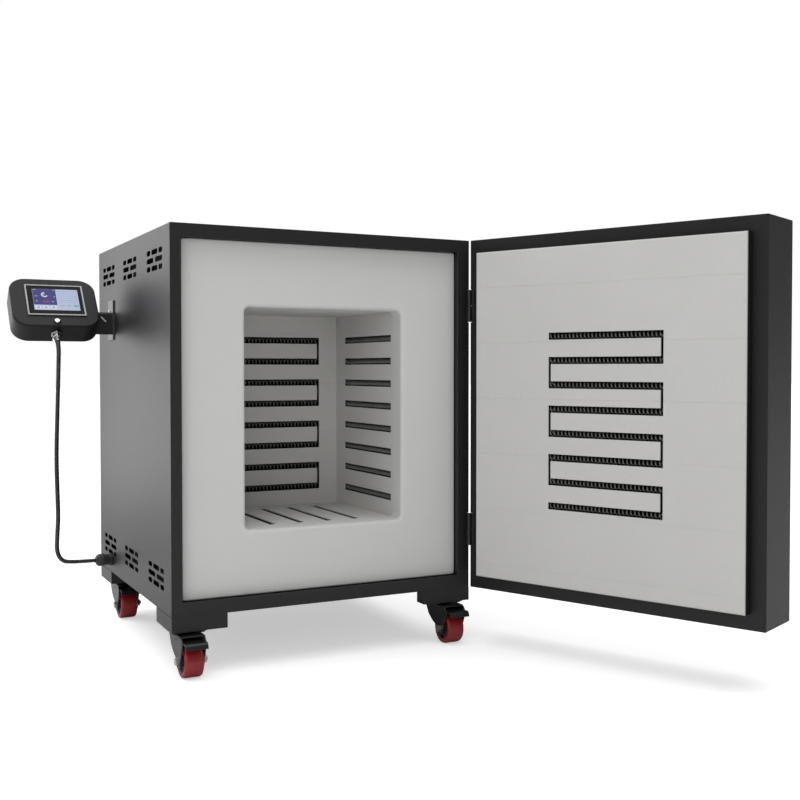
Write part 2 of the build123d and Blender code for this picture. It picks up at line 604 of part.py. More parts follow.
with BuildPart() as box_housing:
    with BuildSketch(on_face(BOX_T - LID_T)):
        RectangleRounded(BOX_W, BOX_H, BOX_R)
    extrude(amount=BOX_T - LID_T)
    fillet(box_housing.faces().sort_by(Axis(FACE.origin, FACE.z_dir))[-1].edges(), radius=4)
    with BuildSketch(on_face(BOX_T)):
        RectangleRounded(BOX_W - 2 * BOX_WALL, BOX_H - 2 * BOX_WALL, BOX_R - BOX_WALL)
    extrude(amount=BOX_T - BOX_WALL, mode=Mode.SUBTRACT)
    with BuildSketch(on_face(BOX_T)):
        with Locations(BEZEL_AT):
            Rectangle(SCREEN_W, SCREEN_H)
        with Locations(BUTTON_AT):
            Circle(BUTTON_R + RUNNING)
    extrude(amount=BOX_T + 1, mode=Mode.SUBTRACT)
    gland_top = FACE.location * Location((GLAND_X, -BOX_H / 2, -21))
    with Locations(gland_top * Rotation(90, 0, 0)):
        Cylinder(7, 4 * BOX_WALL, mode=Mode.SUBTRACT)
finish("box_housing", box_housing)

with BuildPart() as box_back_cover:
    with BuildSketch(on_face(BOX_T)):
        RectangleRounded(BOX_W, BOX_H, BOX_R)
    extrude(amount=LID_T)
    fillet(box_back_cover.faces().sort_by(Axis(FACE.origin, FACE.z_dir))[0].edges(), radius=4)
finish("box_back_cover", box_back_cover)

with BuildPart() as screen_bezel:
    with BuildSketch(on_face(0)):
        with Locations(BEZEL_AT):
            RectangleRounded(BEZEL_W, BEZEL_H, 2)
            Rectangle(SCREEN_W, SCREEN_H, mode=Mode.SUBTRACT)
    extrude(amount=BEZEL_PROUD)
    chamfer(screen_bezel.faces().sort_by(Axis(FACE.origin, FACE.z_dir))[-1].edges(), length=0.6)
finish("screen_bezel", screen_bezel)

with BuildPart() as screen_glass:
    with BuildSketch(on_face(1.2)):
        with Locations(BEZEL_AT):
            Rectangle(SCREEN_W - 0.2, SCREEN_H - 0.2)
    extrude(amount=2.4)
finish("screen_glass", screen_glass)

with BuildPart() as circuit_board:
    with BuildSketch(on_face(18)):
        with Locations((0, 6)):
            Rectangle(120, 86)
    extrude(amount=1.6)
    with BuildSketch(on_face(16.4)):
        with Locations((-40, 20), (10, -5), (40, 20)):
            Rectangle(22, 18)
    extrude(amount=6)
finish("circuit_board", circuit_board)

with BuildPart() as start_button:
    with BuildSketch(on_face(9)):
        with Locations(BUTTON_AT):
            Circle(BUTTON_R)
    extrude(amount=9 + 4)
    fillet(start_button.faces().sort_by(Axis(FACE.origin, FACE.z_dir))[-1].edges(), radius=1)
    with BuildSketch(on_face(9)):
        with Locations(BUTTON_AT):
            Circle(BUTTON_R + 2)
    extrude(amount=2)
finish("start_button", start_button)

UNDERSIDE = Plane(
    origin=FACE.from_local_coords((GLAND_X, -BOX_H / 2, -21)), x_dir=(1, 0, 0), z_dir=(0, -TILT_Y, -TILT_Z)
)
with BuildPart() as upper_gland:
    with BuildSketch(UNDERSIDE):
        RegularPolygon(10.5, 6)
    extrude(amount=5)
    for start, radius, length in ((-8, 6.8, 8), (5, 8, 4), (9, 9, 8), (17, 6.8, 5)):
        with BuildSketch(UNDERSIDE.offset(start)):
            Circle(radius)
        extrude(amount=length)
finish("upper_gland", upper_gland)

with BuildPart() as lower_gland:
    gland_y, gland_z = WALL_GLAND[1:]
    rod((6, gland_y, gland_z), (-WALL_GLAND_REACH, gland_y, gland_z), 9)
    for start, length in ((-1, 6), (-19, 14)):
        with BuildSketch(Plane.YZ.offset(start)) as nut:
            with Locations((gland_y, gland_z)):
                RegularPolygon(14.5, 6)
        extrude(nut.sketch, amount=-length)
    rod((0, gland_y, gland_z), (-2, gland_y, gland_z), 13)
    for rib in range(3):
        rib_x = -8 - 3.6 * rib
        rod((rib_x, gland_y, gland_z), (rib_x - 2.6, gland_y, gland_z), 12.6)
    rod((-33, gland_y, gland_z), (-WALL_GLAND_REACH + 1, gland_y, gland_z), 11.5)
    rod((SHEET, gland_y, gland_z), (SHEET + 4, gland_y, gland_z), 12)
finish("lower_gland", lower_gland)

# The ribbed conduit hangs from the box, sags down the side and turns into the wall gland.
CONDUIT_ROUTE = [
    tuple(UNDERSIDE.from_local_coords((0, 0, GLAND_LENGTH))),
    tuple(UNDERSIDE.from_local_coords((0, 0, 2 * GLAND_LENGTH))),
    (-138.6, 355, 478),
    (-140, 353, 436),
    (-141, 361, 362),
    (-140, 383, 278),
    (-134.5, 408, 205),
    (-127.5, 440, 141),
    (-126.5, 465, 93),
    (-124, 484, 58),
    (-110, 498, 36),
    (-86, 506, 32),
    (-60, gland_y, gland_z),
    (-WALL_GLAND_REACH, gland_y, gland_z),
]


def route_radii(points):
    """The largest tangent arc at each inner point: 0.45 of the shorter run over tan(half the turn)."""
    radii = []
    for before, corner, after in zip(points, points[1:], points[2:]):
        into = Vector(*corner) - Vector(*before)
        out = Vector(*after) - Vector(*corner)
        turn = into.get_angle(out)
        radii.append(0.45 * min(into.length, out.length) / tan(radians(turn / 2)))
    return radii


conduit_radii = route_radii(CONDUIT_ROUTE)
print("conduit radii", [round(radius) for radius in conduit_radii])
with BuildPart() as conduit:
    with BuildLine() as conduit_path:
        FilletPolyline(*CONDUIT_ROUTE, radius=conduit_radii)
    with BuildSketch(Plane(origin=CONDUIT_ROUTE[0], z_dir=conduit_path.line % 0)):
        Circle(CONDUIT_R)
    sweep()
conduit_length = conduit_path.wire().length
print("conduit length", round(conduit_length), "volume", round(conduit.part.volume),
      "expected", round(conduit_length * pi * CONDUIT_R**2))
finish("conduit", conduit)

PLATE_Y, PLATE_Z = (467, 517), (525, 613)
ARM_Z = (536.5, 608.5)
BRACKET_T = 4
with BuildPart() as bracket_plate:
    block((-BRACKET_T, 0), PLATE_Y, PLATE_Z)
    fillet(bracket_plate.edges().filter_by(Axis.X), radius=3)
    for screw_z in BRACKET_SCREWS_Z:
        rod((-5, BRACKET_SCREWS_Y, screw_z), (1, BRACKET_SCREWS_Y, screw_z), 2.6, mode=Mode.SUBTRACT)
finish("bracket_plate", bracket_plate)

with BuildPart() as bracket_screws:
    for screw_z in BRACKET_SCREWS_Z:
        rod((4, BRACKET_SCREWS_Y, screw_z), (-BRACKET_T, BRACKET_SCREWS_Y, screw_z), 2.5)
        rod((-BRACKET_T, BRACKET_SCREWS_Y, screw_z), (-BRACKET_T - 2.6, BRACKET_SCREWS_Y, screw_z), 4.6)
finish("bracket_screws", bracket_screws)

with BuildPart() as bracket_arm:
    block((-108, -BRACKET_T), (PLATE_Y[0], PLATE_Y[0] + BRACKET_T), ARM_Z)
    fillet(bracket_arm.edges().filter_by(Axis.Y).group_by(Axis.X)[0], radius=12)
    with BuildSketch(Plane.XZ.offset(-PLATE_Y[0] + 1)):
        with Locations(Location((-24, 570), -45)):
            SlotOverall(15.5, 3)
    extrude(amount=-6, mode=Mode.SUBTRACT)
    with BuildSketch(on_face(BOX_T)):
        with Locations((20, 0)):
            Rectangle(BOX_W + 60, BOX_H + 60)
    extrude(amount=BOX_T + 20, mode=Mode.SUBTRACT)
    with BuildSketch(on_face(BOX_T)):
        with Locations((45, 0)):
            RectangleRounded(60, 70, 6)
    extrude(amount=-BRACKET_T)
finish("bracket_arm", bracket_arm)

# --- door, drawn closed --------------------------------------------------------------------------
DOOR_X = (DOOR_EDGE_X - DOOR_W, DOOR_EDGE_X)
DOOR_Y = (-DOOR_GAP - DOOR_T, -DOOR_GAP)
PLUG_X = (DOOR_X[0] + DOOR_BORDER, DOOR_X[1] - DOOR_BORDER)
PLUG_Z = (DOOR_BORDER, BODY_H - DOOR_BORDER)
PLUG_FRONT = -DOOR_GAP + PLUG
DOOR_BRICK_BACK = PLUG_FRONT - 64
DOOR_GROOVE_X = (DOOR_EDGE_X - 452, DOOR_EDGE_X - 206)
DOOR_COIL_Y = PLUG_FRONT - SIDE_COIL_DEPTH
DOOR_COURSES = [PLUG_Z[0], 60, 174.5, 288, 401, 514, 627, PLUG_Z[1]]

with BuildPart() as door_shell:
    block(DOOR_X, DOOR_Y, (0, BODY_H))
    fillet(door_shell.edges().filter_by(Axis.Y), radius=BEND_R)
    fillet(door_shell.faces().sort_by(Axis.Y)[0].edges(), radius=BEND_R - 0.5)
    block(
        (DOOR_X[0] + SHEET, DOOR_X[1] - SHEET), (DOOR_Y[0] + SHEET, DOOR_Y[1] - SHEET),
        (SHEET, BODY_H - SHEET), mode=Mode.SUBTRACT,
    )
    block(PLUG_X, (DOOR_Y[1] - 3 * SHEET, DOOR_Y[1] + 1), PLUG_Z, mode=Mode.SUBTRACT)
    for centre_z in HINGE_CENTRES:
        with Locations((HINGE_X, HINGE_Y, centre_z)):
            Cylinder(NOTCH_R, HINGE_H + 2, mode=Mode.SUBTRACT)
    HANDLE_X, HANDLE_Z = DOOR_X[0] + 48, 365
    for handle_z in (HANDLE_Z - 64, HANDLE_Z + 64):
        rod((HANDLE_X, DOOR_Y[0] - 1, handle_z), (HANDLE_X, DOOR_Y[0] + 4, handle_z), 3.1,
            mode=Mode.SUBTRACT)
finish_on_door("door_shell", door_shell)

with BuildPart() as door_insulation:
    block(
        (DOOR_X[0] + SHEET, DOOR_X[1] - SHEET), (DOOR_Y[0] + 14, DOOR_BRICK_BACK),
        (SHEET, BODY_H - SHEET),
    )
finish_on_door("door_insulation", door_insulation)

with BuildPart() as door_bricks:
    for low, high in zip(DOOR_COURSES, DOOR_COURSES[1:]):
        top = high - JOINT_GAP if high < PLUG_Z[1] else high
        block(PLUG_X, (DOOR_BRICK_BACK, PLUG_FRONT), (low, top))
    rim = door_bricks.edges().group_by(Axis.Y)[-1]
    outline = [
        edge for edge in rim
        if min(abs(edge.center().X - PLUG_X[0]), abs(edge.center().X - PLUG_X[1])) < 1
        or min(abs(edge.center().Z - PLUG_Z[0]), abs(edge.center().Z - PLUG_Z[1])) < 1
    ]
    chamfer(outline, length=3)
    grooves(DOOR_GROOVE_X, (PLUG_FRONT - GROOVE_D, PLUG_FRONT))
    for end, end_x in enumerate((DOOR_GROOVE_X[0], DOOR_GROOVE_X[1] - CONNECTOR_W)):
        links((end_x, end_x + CONNECTOR_W), (PLUG_FRONT - CONNECTOR_D, PLUG_FRONT), end)
finish_on_door("door_bricks", door_bricks)


def door_ends(row):
    z = ROW_Z[row]
    return (
        (DOOR_GROOVE_X[0] + COIL_CLEAR, DOOR_COIL_Y, z),
        (DOOR_GROOVE_X[1] - COIL_CLEAR, DOOR_COIL_Y, z),
    )


with BuildPart() as door_element:
    serpentine(door_ends, ROWS, 0)
finish_on_door("door_element", door_element)

HANDLE_REACH = 42
HANDLE_R = 7
with BuildPart() as door_handle:
    with BuildLine() as grip:
        FilletPolyline(
            (HANDLE_X, DOOR_Y[0], HANDLE_Z - 64), (HANDLE_X, DOOR_Y[0] - HANDLE_REACH, HANDLE_Z - 64),
            (HANDLE_X, DOOR_Y[0] - HANDLE_REACH, HANDLE_Z + 64), (HANDLE_X, DOOR_Y[0], HANDLE_Z + 64),
            radius=14,
        )
    with BuildSketch(Plane(origin=grip.line @ 0, z_dir=grip.line % 0)):
        Circle(HANDLE_R)
    sweep()
    for handle_z in (HANDLE_Z - 64, HANDLE_Z + 64):
        rod((HANDLE_X, DOOR_Y[0], handle_z), (HANDLE_X, DOOR_Y[0] - 4, handle_z), 11)
        rod((HANDLE_X, DOOR_Y[0], handle_z), (HANDLE_X, DOOR_Y[0] - 16, handle_z), 3.1,
            mode=Mode.SUBTRACT)
finish_on_door("door_handle", door_handle)

with BuildPart() as handle_screws:
    for handle_z in (HANDLE_Z - 64, HANDLE_Z + 64):
        rod((HANDLE_X, DOOR_Y[0] + SHEET, handle_z), (HANDLE_X, DOOR_Y[0] - 15, handle_z), 3)
        rod((HANDLE_X, DOOR_Y[0] + SHEET, handle_z), (HANDLE_X, DOOR_Y[0] + SHEET + 4, handle_z), 6)
finish_on_door("handle_screws", handle_screws)

# --- hinges: each leaf carries one half of the barrel ---------------------------------------------
LEAF_CLEAR = BARREL_R + 0.5


def hinge_half(centre_z, upper, leaf_y):
    """A full-height leaf with its knuckle, and clearance round the other knuckle."""
    half = HINGE_H / 2
    low, high = (centre_z, centre_z + half) if upper else (centre_z - half, centre_z)
    other = (centre_z - half, centre_z) if upper else (centre_z, centre_z + half)
    block((HINGE_X - LEAF_REACH, HINGE_X), leaf_y, (centre_z - half, centre_z + half))
    rod((HINGE_X, HINGE_Y, other[0] - 1), (HINGE_X, HINGE_Y, other[1] + 1), LEAF_CLEAR,
        mode=Mode.SUBTRACT)
    gap = 0.4
    rod((HINGE_X, HINGE_Y, low + (gap if upper else 0)), (HINGE_X, HINGE_Y, high - (0 if upper else gap)),
        BARREL_R)
    bore = PIN_R + RUNNING if upper else PIN_R
    rod((HINGE_X, HINGE_Y, low - 0.5), (HINGE_X, HINGE_Y, high - (2 if upper else 0)), bore,
        mode=Mode.SUBTRACT)


with BuildPart() as cabinet_hinge_leaves:
    for centre_z in HINGE_CENTRES:
        with BuildPart(mode=Mode.PRIVATE) as half_hinge:
            hinge_half(centre_z, False, (-LEAF_T, 0))
        add(half_hinge.part)
finish("cabinet_hinge_leaves", cabinet_hinge_leaves)

with BuildPart() as door_hinge_leaves:
    for centre_z in HINGE_CENTRES:
        with BuildPart(mode=Mode.PRIVATE) as half_hinge:
            hinge_half(centre_z, True, (-DOOR_GAP, -DOOR_GAP + LEAF_T))
        add(half_hinge.part)
finish_on_door("door_hinge_leaves", door_hinge_leaves)

with BuildPart() as hinge_pins:
    for centre_z in HINGE_CENTRES:
        rod((HINGE_X, HINGE_Y, centre_z - HINGE_H / 2), (HINGE_X, HINGE_Y, centre_z + HINGE_H / 2 - 4), PIN_R)
finish("hinge_pins", hinge_pins)

# --- place the origin and write the pieces --------------------------------------------------------
low = [1e9, 1e9, 1e9]
high = [-1e9, -1e9, -1e9]
for name, piece in pieces.items():
    if name == "conduit":
        continue
    box = piece.bounding_box()
    low = [min(a, b) for a, b in zip(low, box.min)]
    high = [max(a, b) for a, b in zip(high, box.max)]
ORIGIN = Vector((low[0] + high[0]) / 2, (low[1] + high[1]) / 2, low[2])
print("origin in the cabinet's frame", tuple(round(v, 4) for v in ORIGIN), "pieces", len(pieces))

for name, piece in pieces.items():
    placed = piece.moved(Location(-ORIGIN))
    placed.label = name
    export_step(placed, f"parts/{name}.step")
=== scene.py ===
# %% [markdown]
# # A front-loading pottery kiln
# The kiln is a steel cabinet on four casters, with a thick door, a brick chamber and a control box
# on a bracket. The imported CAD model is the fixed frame. This lesson gives its parts their finishes,
# and models the pieces that CAD only blocks out: the coils, the conduit, the wheels and the screen.

from math import cos, pi, radians, sin, tau

import bpy
from mathutils import Matrix, Vector


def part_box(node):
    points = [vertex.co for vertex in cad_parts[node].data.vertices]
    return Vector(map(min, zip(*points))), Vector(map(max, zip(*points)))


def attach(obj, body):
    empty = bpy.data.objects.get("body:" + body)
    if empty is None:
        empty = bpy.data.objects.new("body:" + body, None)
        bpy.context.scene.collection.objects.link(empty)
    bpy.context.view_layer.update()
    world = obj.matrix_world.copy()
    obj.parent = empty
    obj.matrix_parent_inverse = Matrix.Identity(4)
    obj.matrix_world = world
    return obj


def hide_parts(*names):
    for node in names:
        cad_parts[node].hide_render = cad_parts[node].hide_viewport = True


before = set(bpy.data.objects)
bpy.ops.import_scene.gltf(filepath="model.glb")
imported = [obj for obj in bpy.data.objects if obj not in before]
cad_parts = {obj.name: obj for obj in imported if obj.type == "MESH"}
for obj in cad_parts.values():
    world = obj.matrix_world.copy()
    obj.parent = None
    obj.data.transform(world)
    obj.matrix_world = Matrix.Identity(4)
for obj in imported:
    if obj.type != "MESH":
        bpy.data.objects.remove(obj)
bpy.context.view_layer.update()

# %% [markdown]
# The cabinet was drawn in millimetres from its lower left front corner, with X to the right, Y to
# the back and Z up. The front frame starts at that corner, so its box tells where the corner is now.
# One helper turns drawing millimetres into scene metres, so every piece can be placed by its drawing.

# %% Places on the cabinet
MM = 0.001
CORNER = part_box("front_frame")[0]


def at(x, y, z):
    """A place on the drawing, in scene metres."""
    return CORNER + Vector((x, y, z)) * MM


print("corner", tuple(round(value, 4) for value in CORNER))

# %% [markdown]
# The camera stands to the left of the middle and a little above half the cabinet's height, turned
# to the right, so that the open door, the chamber and the left side all show. The shift is small,
# and only centres the kiln in the picture.

# %% Camera
camera_data = bpy.data.cameras.new("camera")
camera_data.lens = 48.53
camera_data.sensor_width = 36
camera_data.shift_x = -0.02114
camera_data.shift_y = -0.00771
camera_data.clip_start = 0.05
camera = bpy.data.objects.new("camera", camera_data)
camera.location = at(-520.15, -1962.1, 462.59)
camera.rotation_euler = (radians(88.626), 0, radians(-27.726))
bpy.context.scene.collection.objects.link(camera)
bpy.context.scene.camera = camera
bpy.context.scene.view_settings.view_transform = "Standard"

# %% [markdown]
# The studio is a pale floor and a few large soft lights. A big area light gives soft shadows because
# it is seen from the kiln under a wide angle. The world is white to the camera, and only a dim grey
# to the surfaces, so that black paint stays black instead of mirroring a white room.

# %% Floor and world
bpy.ops.object.select_all(action="DESELECT")
bpy.ops.mesh.primitive_plane_add(size=60, location=(0, 0, 0))
floor = bpy.context.object
floor.name = "studio_floor"
paper = bpy.data.materials.new("Studio paper")
paper.use_nodes = True
paper.node_tree.nodes["Principled BSDF"].inputs["Base Color"].default_value = (0.8, 0.8, 0.8, 1)
paper.node_tree.nodes["Principled BSDF"].inputs["Roughness"].default_value = 0.9
paper.node_tree.nodes["Principled BSDF"].inputs["Emission Color"].default_value = (1, 1, 1, 1)
glow = paper.node_tree.nodes.new("ShaderNodeMath")
glow.operation = "MULTIPLY"
glow.inputs[1].default_value = 0.5
paper.node_tree.links.new(
    paper.node_tree.nodes.new("ShaderNodeLightPath").outputs["Is Camera Ray"], glow.inputs[0])
paper.node_tree.links.new(
    glow.outputs[0], paper.node_tree.nodes["Principled BSDF"].inputs["Emission Strength"])
paper.node_tree.nodes["Principled BSDF"].inputs["Specular IOR Level"].default_value = 0.0
floor.data.materials.append(paper)

WORLD_FILL = 0.2
world = bpy.data.worlds.new("studio")
bpy.context.scene.world = world
world.use_nodes = True
sky = world.node_tree
sky.nodes.clear()
rays = sky.nodes.new("ShaderNodeLightPath")
seen = sky.nodes.new("ShaderNodeBackground")
seen.inputs["Strength"].default_value = 1.0
fill = sky.nodes.new("ShaderNodeBackground")
fill.inputs["Strength"].default_value = WORLD_FILL
choose = sky.nodes.new("ShaderNodeMixShader")
sky_out = sky.nodes.new("ShaderNodeOutputWorld")
for node in (seen, fill):
    node.inputs["Color"].default_value = (1, 1, 1, 1)
sky.links.new(rays.outputs["Is Camera Ray"], choose.inputs["Fac"])
sky.links.new(fill.outputs["Background"], choose.inputs[1])
sky.links.new(seen.outputs["Background"], choose.inputs[2])
sky.links.new(choose.outputs["Shader"], sky_out.inputs["Surface"])


# %% Softboxes
def softbox(name, place, target, width, height, watts):
    """A rectangular area light that looks at a place on the cabinet."""
    light = bpy.data.lights.new(name, "AREA")
    light.shape = "RECTANGLE"
    light.size, light.size_y = width, height
    light.energy = watts
    lamp = bpy.data.objects.new(name, light)
    lamp.location = at(*place)
    lamp.rotation_euler = (at(*target) - lamp.location).to_track_quat("-Z", "Y").to_euler()
    lamp.visible_camera = False
    bpy.context.scene.collection.objects.link(lamp)
    return lamp


overhead = bpy.data.lights.new("overhead", "SUN")
overhead.energy = 2.4
overhead.angle = radians(80)
overhead_lamp = bpy.data.objects.new("overhead", overhead)
bpy.context.scene.collection.objects.link(overhead_lamp)
softbox("key_front_left", (-1500, -2600, 1500), (400, 0, 350), 2.4, 2.0, 21)
softbox("side_rear_left", (-520, 1100, 760), (0, 430, 560), 0.8, 1.5, 8.5)

# %% [markdown]
# The conduit is the only cord. It leaves the nickel gland under the control box, sags down beside
# the cabinet and turns into the black gland low on the side. Its centre line is a NURBS spline whose
# control points are the drawing's own route. The spline is read back as points, because the ribs
# that are modelled later follow it.

# %% Conduit centre line
CONDUIT_ROUTE = (
    (-137.0, 374.34, 519.42), (-137.0, 359.67, 503.02), (-138.6, 355, 478), (-140, 353, 436),
    (-141, 361, 362), (-140, 383, 278), (-134.5, 408, 205), (-127.5, 440, 141),
    (-126.5, 465, 93), (-124, 484, 58), (-110, 498, 36), (-86, 506, 32), (-60, 507, 31),
    (-37, 507, 31),
)
CONDUIT_R = 4.8


def nurbs_line(name, points):
    """A bare NURBS curve of order 3 that starts and ends at its first and last point."""
    data = bpy.data.curves.new(name, "CURVE")
    data.dimensions = "3D"
    data.resolution_u = 12
    spline = data.splines.new("NURBS")
    spline.points.add(len(points) - 1)
    for point, place in zip(spline.points, points):
        point.co = (*at(*place), 1)
    spline.order_u = 3
    spline.use_endpoint_u = True
    curve = bpy.data.objects.new(name, data)
    bpy.context.scene.collection.objects.link(curve)
    return curve


conduit_line = nurbs_line("conduit_line", CONDUIT_ROUTE)
bpy.context.view_layer.update()
read_back = bpy.data.meshes.new_from_object(conduit_line)
conduit_path = [vertex.co.copy() for vertex in read_back.vertices]
conduit_reach = sum((b - a).length for a, b in zip(conduit_path, conduit_path[1:]))
print("conduit", len(conduit_path), "points,", round(conduit_reach, 4), "m")

# %% [markdown]
# Several finishes share the same small effects, so each effect is a node group with named inputs.
# Grain is fine noise: its height makes the bump of powder coat or cast metal, and its speckle shifts
# colour and roughness a little. It reads Object coordinates, so it keeps its real size on any piece.

# %% Effect: grain
def effect_group(name, inputs, outputs):
    """An empty shader node group with float inputs, and outputs of the given kinds."""
    group = bpy.data.node_groups.new(name, "ShaderNodeTree")
    for label, value in inputs.items():
        kind = "NodeSocketColor" if isinstance(value, tuple) else "NodeSocketFloat"
        socket = group.interface.new_socket(name=label, in_out="INPUT", socket_type=kind)
        socket.default_value = value
    for label, kind in outputs.items():
        group.interface.new_socket(name=label, in_out="OUTPUT", socket_type=kind)
    return group, group.nodes.new("NodeGroupInput"), group.nodes.new("NodeGroupOutput")


def math_node(tree, operation, *values):
    """A Math node whose inputs are sockets or numbers. It gives its output socket."""
    node = tree.nodes.new("ShaderNodeMath")
    node.operation = operation
    for socket, value in zip(node.inputs, values):
        if isinstance(value, (int, float)):
            socket.default_value = value
        else:
            tree.links.new(value, socket)
    return node.outputs[0]


def object_place(tree):
    return tree.nodes.new("ShaderNodeTexCoord").outputs["Object"]


def noise(tree, scale, detail=2.0, place=None):
    """A noise texture on object coordinates. Scale is a number or a socket."""
    node = tree.nodes.new("ShaderNodeTexNoise")
    tree.links.new(place or object_place(tree), node.inputs["Vector"])
    node.inputs["Detail"].default_value = detail
    if isinstance(scale, (int, float)):
        node.inputs["Scale"].default_value = scale
    else:
        tree.links.new(scale, node.inputs["Scale"])
    return node.outputs["Fac"]


grain, entry, result = effect_group(
    "Grain",
    {"Scale": 900.0, "Patch scale": 6.0},
    {"Height": "NodeSocketFloat", "Speckle": "NodeSocketFloat", "Patches": "NodeSocketFloat"},
)
grain.links.new(noise(grain, entry.outputs["Scale"], 3.0), result.inputs["Height"])
coarse = math_node(grain, "MULTIPLY", entry.outputs["Scale"], 0.31)
grain.links.new(noise(grain, coarse, 1.0), result.inputs["Speckle"])
grain.links.new(noise(grain, entry.outputs["Patch scale"], 3.0), result.inputs["Patches"])

# %% [markdown]
# A real sheet edge is never knife sharp. The Bevel node looks along the surface for a near edge and
# turns the shading normal over it, so an edge catches light. Where that normal differs from the
# true one there is an edge, and noise breaks the mask up into the small rubs that handling leaves.

# %% Effect: edges
edges, entry, result = effect_group(
    "Edges",
    {"Radius": 0.001, "Break-up scale": 60.0},
    {"Rub": "NodeSocketFloat", "Normal": "NodeSocketVector"},
)
rounded = edges.nodes.new("ShaderNodeBevel")
rounded.samples = 4
edges.links.new(entry.outputs["Radius"], rounded.inputs["Radius"])
flat = edges.nodes.new("ShaderNodeNewGeometry")
closeness = edges.nodes.new("ShaderNodeVectorMath")
closeness.operation = "DOT_PRODUCT"
edges.links.new(rounded.outputs["Normal"], closeness.inputs[0])
edges.links.new(flat.outputs["Normal"], closeness.inputs[1])
near_edge = math_node(edges, "SUBTRACT", 1.0, closeness.outputs["Value"])
broken = math_node(edges, "POWER", noise(edges, entry.outputs["Break-up scale"], 4.0), 3.0)
rub = math_node(edges, "MULTIPLY", math_node(edges, "MULTIPLY", near_edge, broken), 14.0)
limit = edges.nodes.new("ShaderNodeClamp")
edges.links.new(rub, limit.inputs["Value"])
edges.links.new(limit.outputs["Result"], result.inputs["Rub"])
edges.links.new(rounded.outputs["Normal"], result.inputs["Normal"])

# %% [markdown]
# Soft firebrick is foamed clay: full of open pores from pinholes to two or three millimetres, with
# a fine sandy face between them. Two Voronoi layers with rough thresholds make the pores, and noise
# decides where they are dense. The group gives a height for the bump and a mask that darkens the
# pores with painted shade.

# %% Effect: pores
pores, entry, result = effect_group(
    "Pores",
    {"Scale": 420.0, "Amount": 0.5},
    {"Height": "NodeSocketFloat", "Holes": "NodeSocketFloat", "Mottle": "NodeSocketFloat"},
)


def pore_layer(scale, size):
    """One size of pore: 1 at its middle and 0 outside."""
    cells = pores.nodes.new("ShaderNodeTexVoronoi")
    pores.links.new(object_place(pores), cells.inputs["Vector"])
    pores.links.new(scale, cells.inputs["Scale"])
    cells.inputs["Randomness"].default_value = 1.0
    reach = math_node(pores, "MULTIPLY", cells.outputs["Color"], size)
    inside = math_node(pores, "SUBTRACT", reach, cells.outputs["Distance"])
    sharp = math_node(pores, "MULTIPLY", inside, 6.0)
    clamp = pores.nodes.new("ShaderNodeClamp")
    pores.links.new(sharp, clamp.inputs["Value"])
    return clamp.outputs["Result"]


fine_pores = pore_layer(entry.outputs["Scale"], 0.42)
wide_scale = math_node(pores, "MULTIPLY", entry.outputs["Scale"], 0.37)
wide_pores = pore_layer(wide_scale, 0.30)
crowding = noise(pores, 22.0, 2.0)
open_pores = math_node(pores, "MAXIMUM", fine_pores, wide_pores)
holes_mask = math_node(pores, "MULTIPLY", open_pores, math_node(pores, "MULTIPLY", crowding, 1.6))
holes_mask = math_node(pores, "MULTIPLY", holes_mask, entry.outputs["Amount"])
sand = noise(pores, 1800.0, 2.0)
pores.links.new(math_node(pores, "SUBTRACT", math_node(pores, "MULTIPLY", sand, 0.25), holes_mask),
                result.inputs["Height"])
pores.links.new(holes_mask, result.inputs["Holes"])
pores.links.new(noise(pores, 9.0, 4.0), result.inputs["Mottle"])

# %% [markdown]
# Each finish below is a Principled BSDF with its own numbers. Values that are the same all over sit
# on the shader's sockets. What varies comes from the groups: a colour mixed between two tones by a
# mask, a roughness that moves with the speckle, and a bump from the height.

# %% Helpers for finishes
finishes = {}


def finish_of(label, colour, roughness, metallic=0.0, specular=0.5, **more):
    """A new material with its plain numbers on the Principled BSDF."""
    material = bpy.data.materials.new(label)
    material.use_nodes = True
    shader = material.node_tree.nodes["Principled BSDF"]
    shader.inputs["Base Color"].default_value = (*colour, 1)
    shader.inputs["Roughness"].default_value = roughness
    shader.inputs["Metallic"].default_value = metallic
    shader.inputs["Specular IOR Level"].default_value = specular
    for socket, value in more.items():
        shader.inputs[socket.replace("_", " ")].default_value = value
    finishes[label] = material
    return material, material.node_tree, shader


def place_group(tree, group, **values):
    """Put an effect group in a material with its own values."""
    node = tree.nodes.new("ShaderNodeGroup")
    node.node_tree = group
    for label, value in values.items():
        node.inputs[label.replace("_", " ")].default_value = value
    return node


def mix_colour(tree, mask, low, high):
    """Two colours, or a colour socket and a colour, mixed by a mask."""
    node = tree.nodes.new("ShaderNodeMix")
    node.data_type = "RGBA"
    tree.links.new(mask, node.inputs["Factor"])
    for socket, value in ((node.inputs["A"], low), (node.inputs["B"], high)):
        if isinstance(value, tuple):
            socket.default_value = (*value, 1)
        else:
            tree.links.new(value, socket)
    return node.outputs["Result"]


def spread(tree, mask, low, high):
    """A mask stretched to run from low to high."""
    node = tree.nodes.new("ShaderNodeMapRange")
    tree.links.new(mask, node.inputs["Value"])
    node.inputs["To Min"].default_value = low
    node.inputs["To Max"].default_value = high
    return node.outputs["Result"]


def bump_from(tree, shader, height, distance, strength=1.0, normal=None):
    """Bump from a height, over a bevelled normal where one is given."""
    node = tree.nodes.new("ShaderNodeBump")
    node.inputs["Distance"].default_value = distance
    node.inputs["Strength"].default_value = strength
    tree.links.new(height, node.inputs["Height"])
    if normal:
        tree.links.new(normal, node.inputs["Normal"])
    tree.links.new(node.outputs["Normal"], shader.inputs["Normal"])


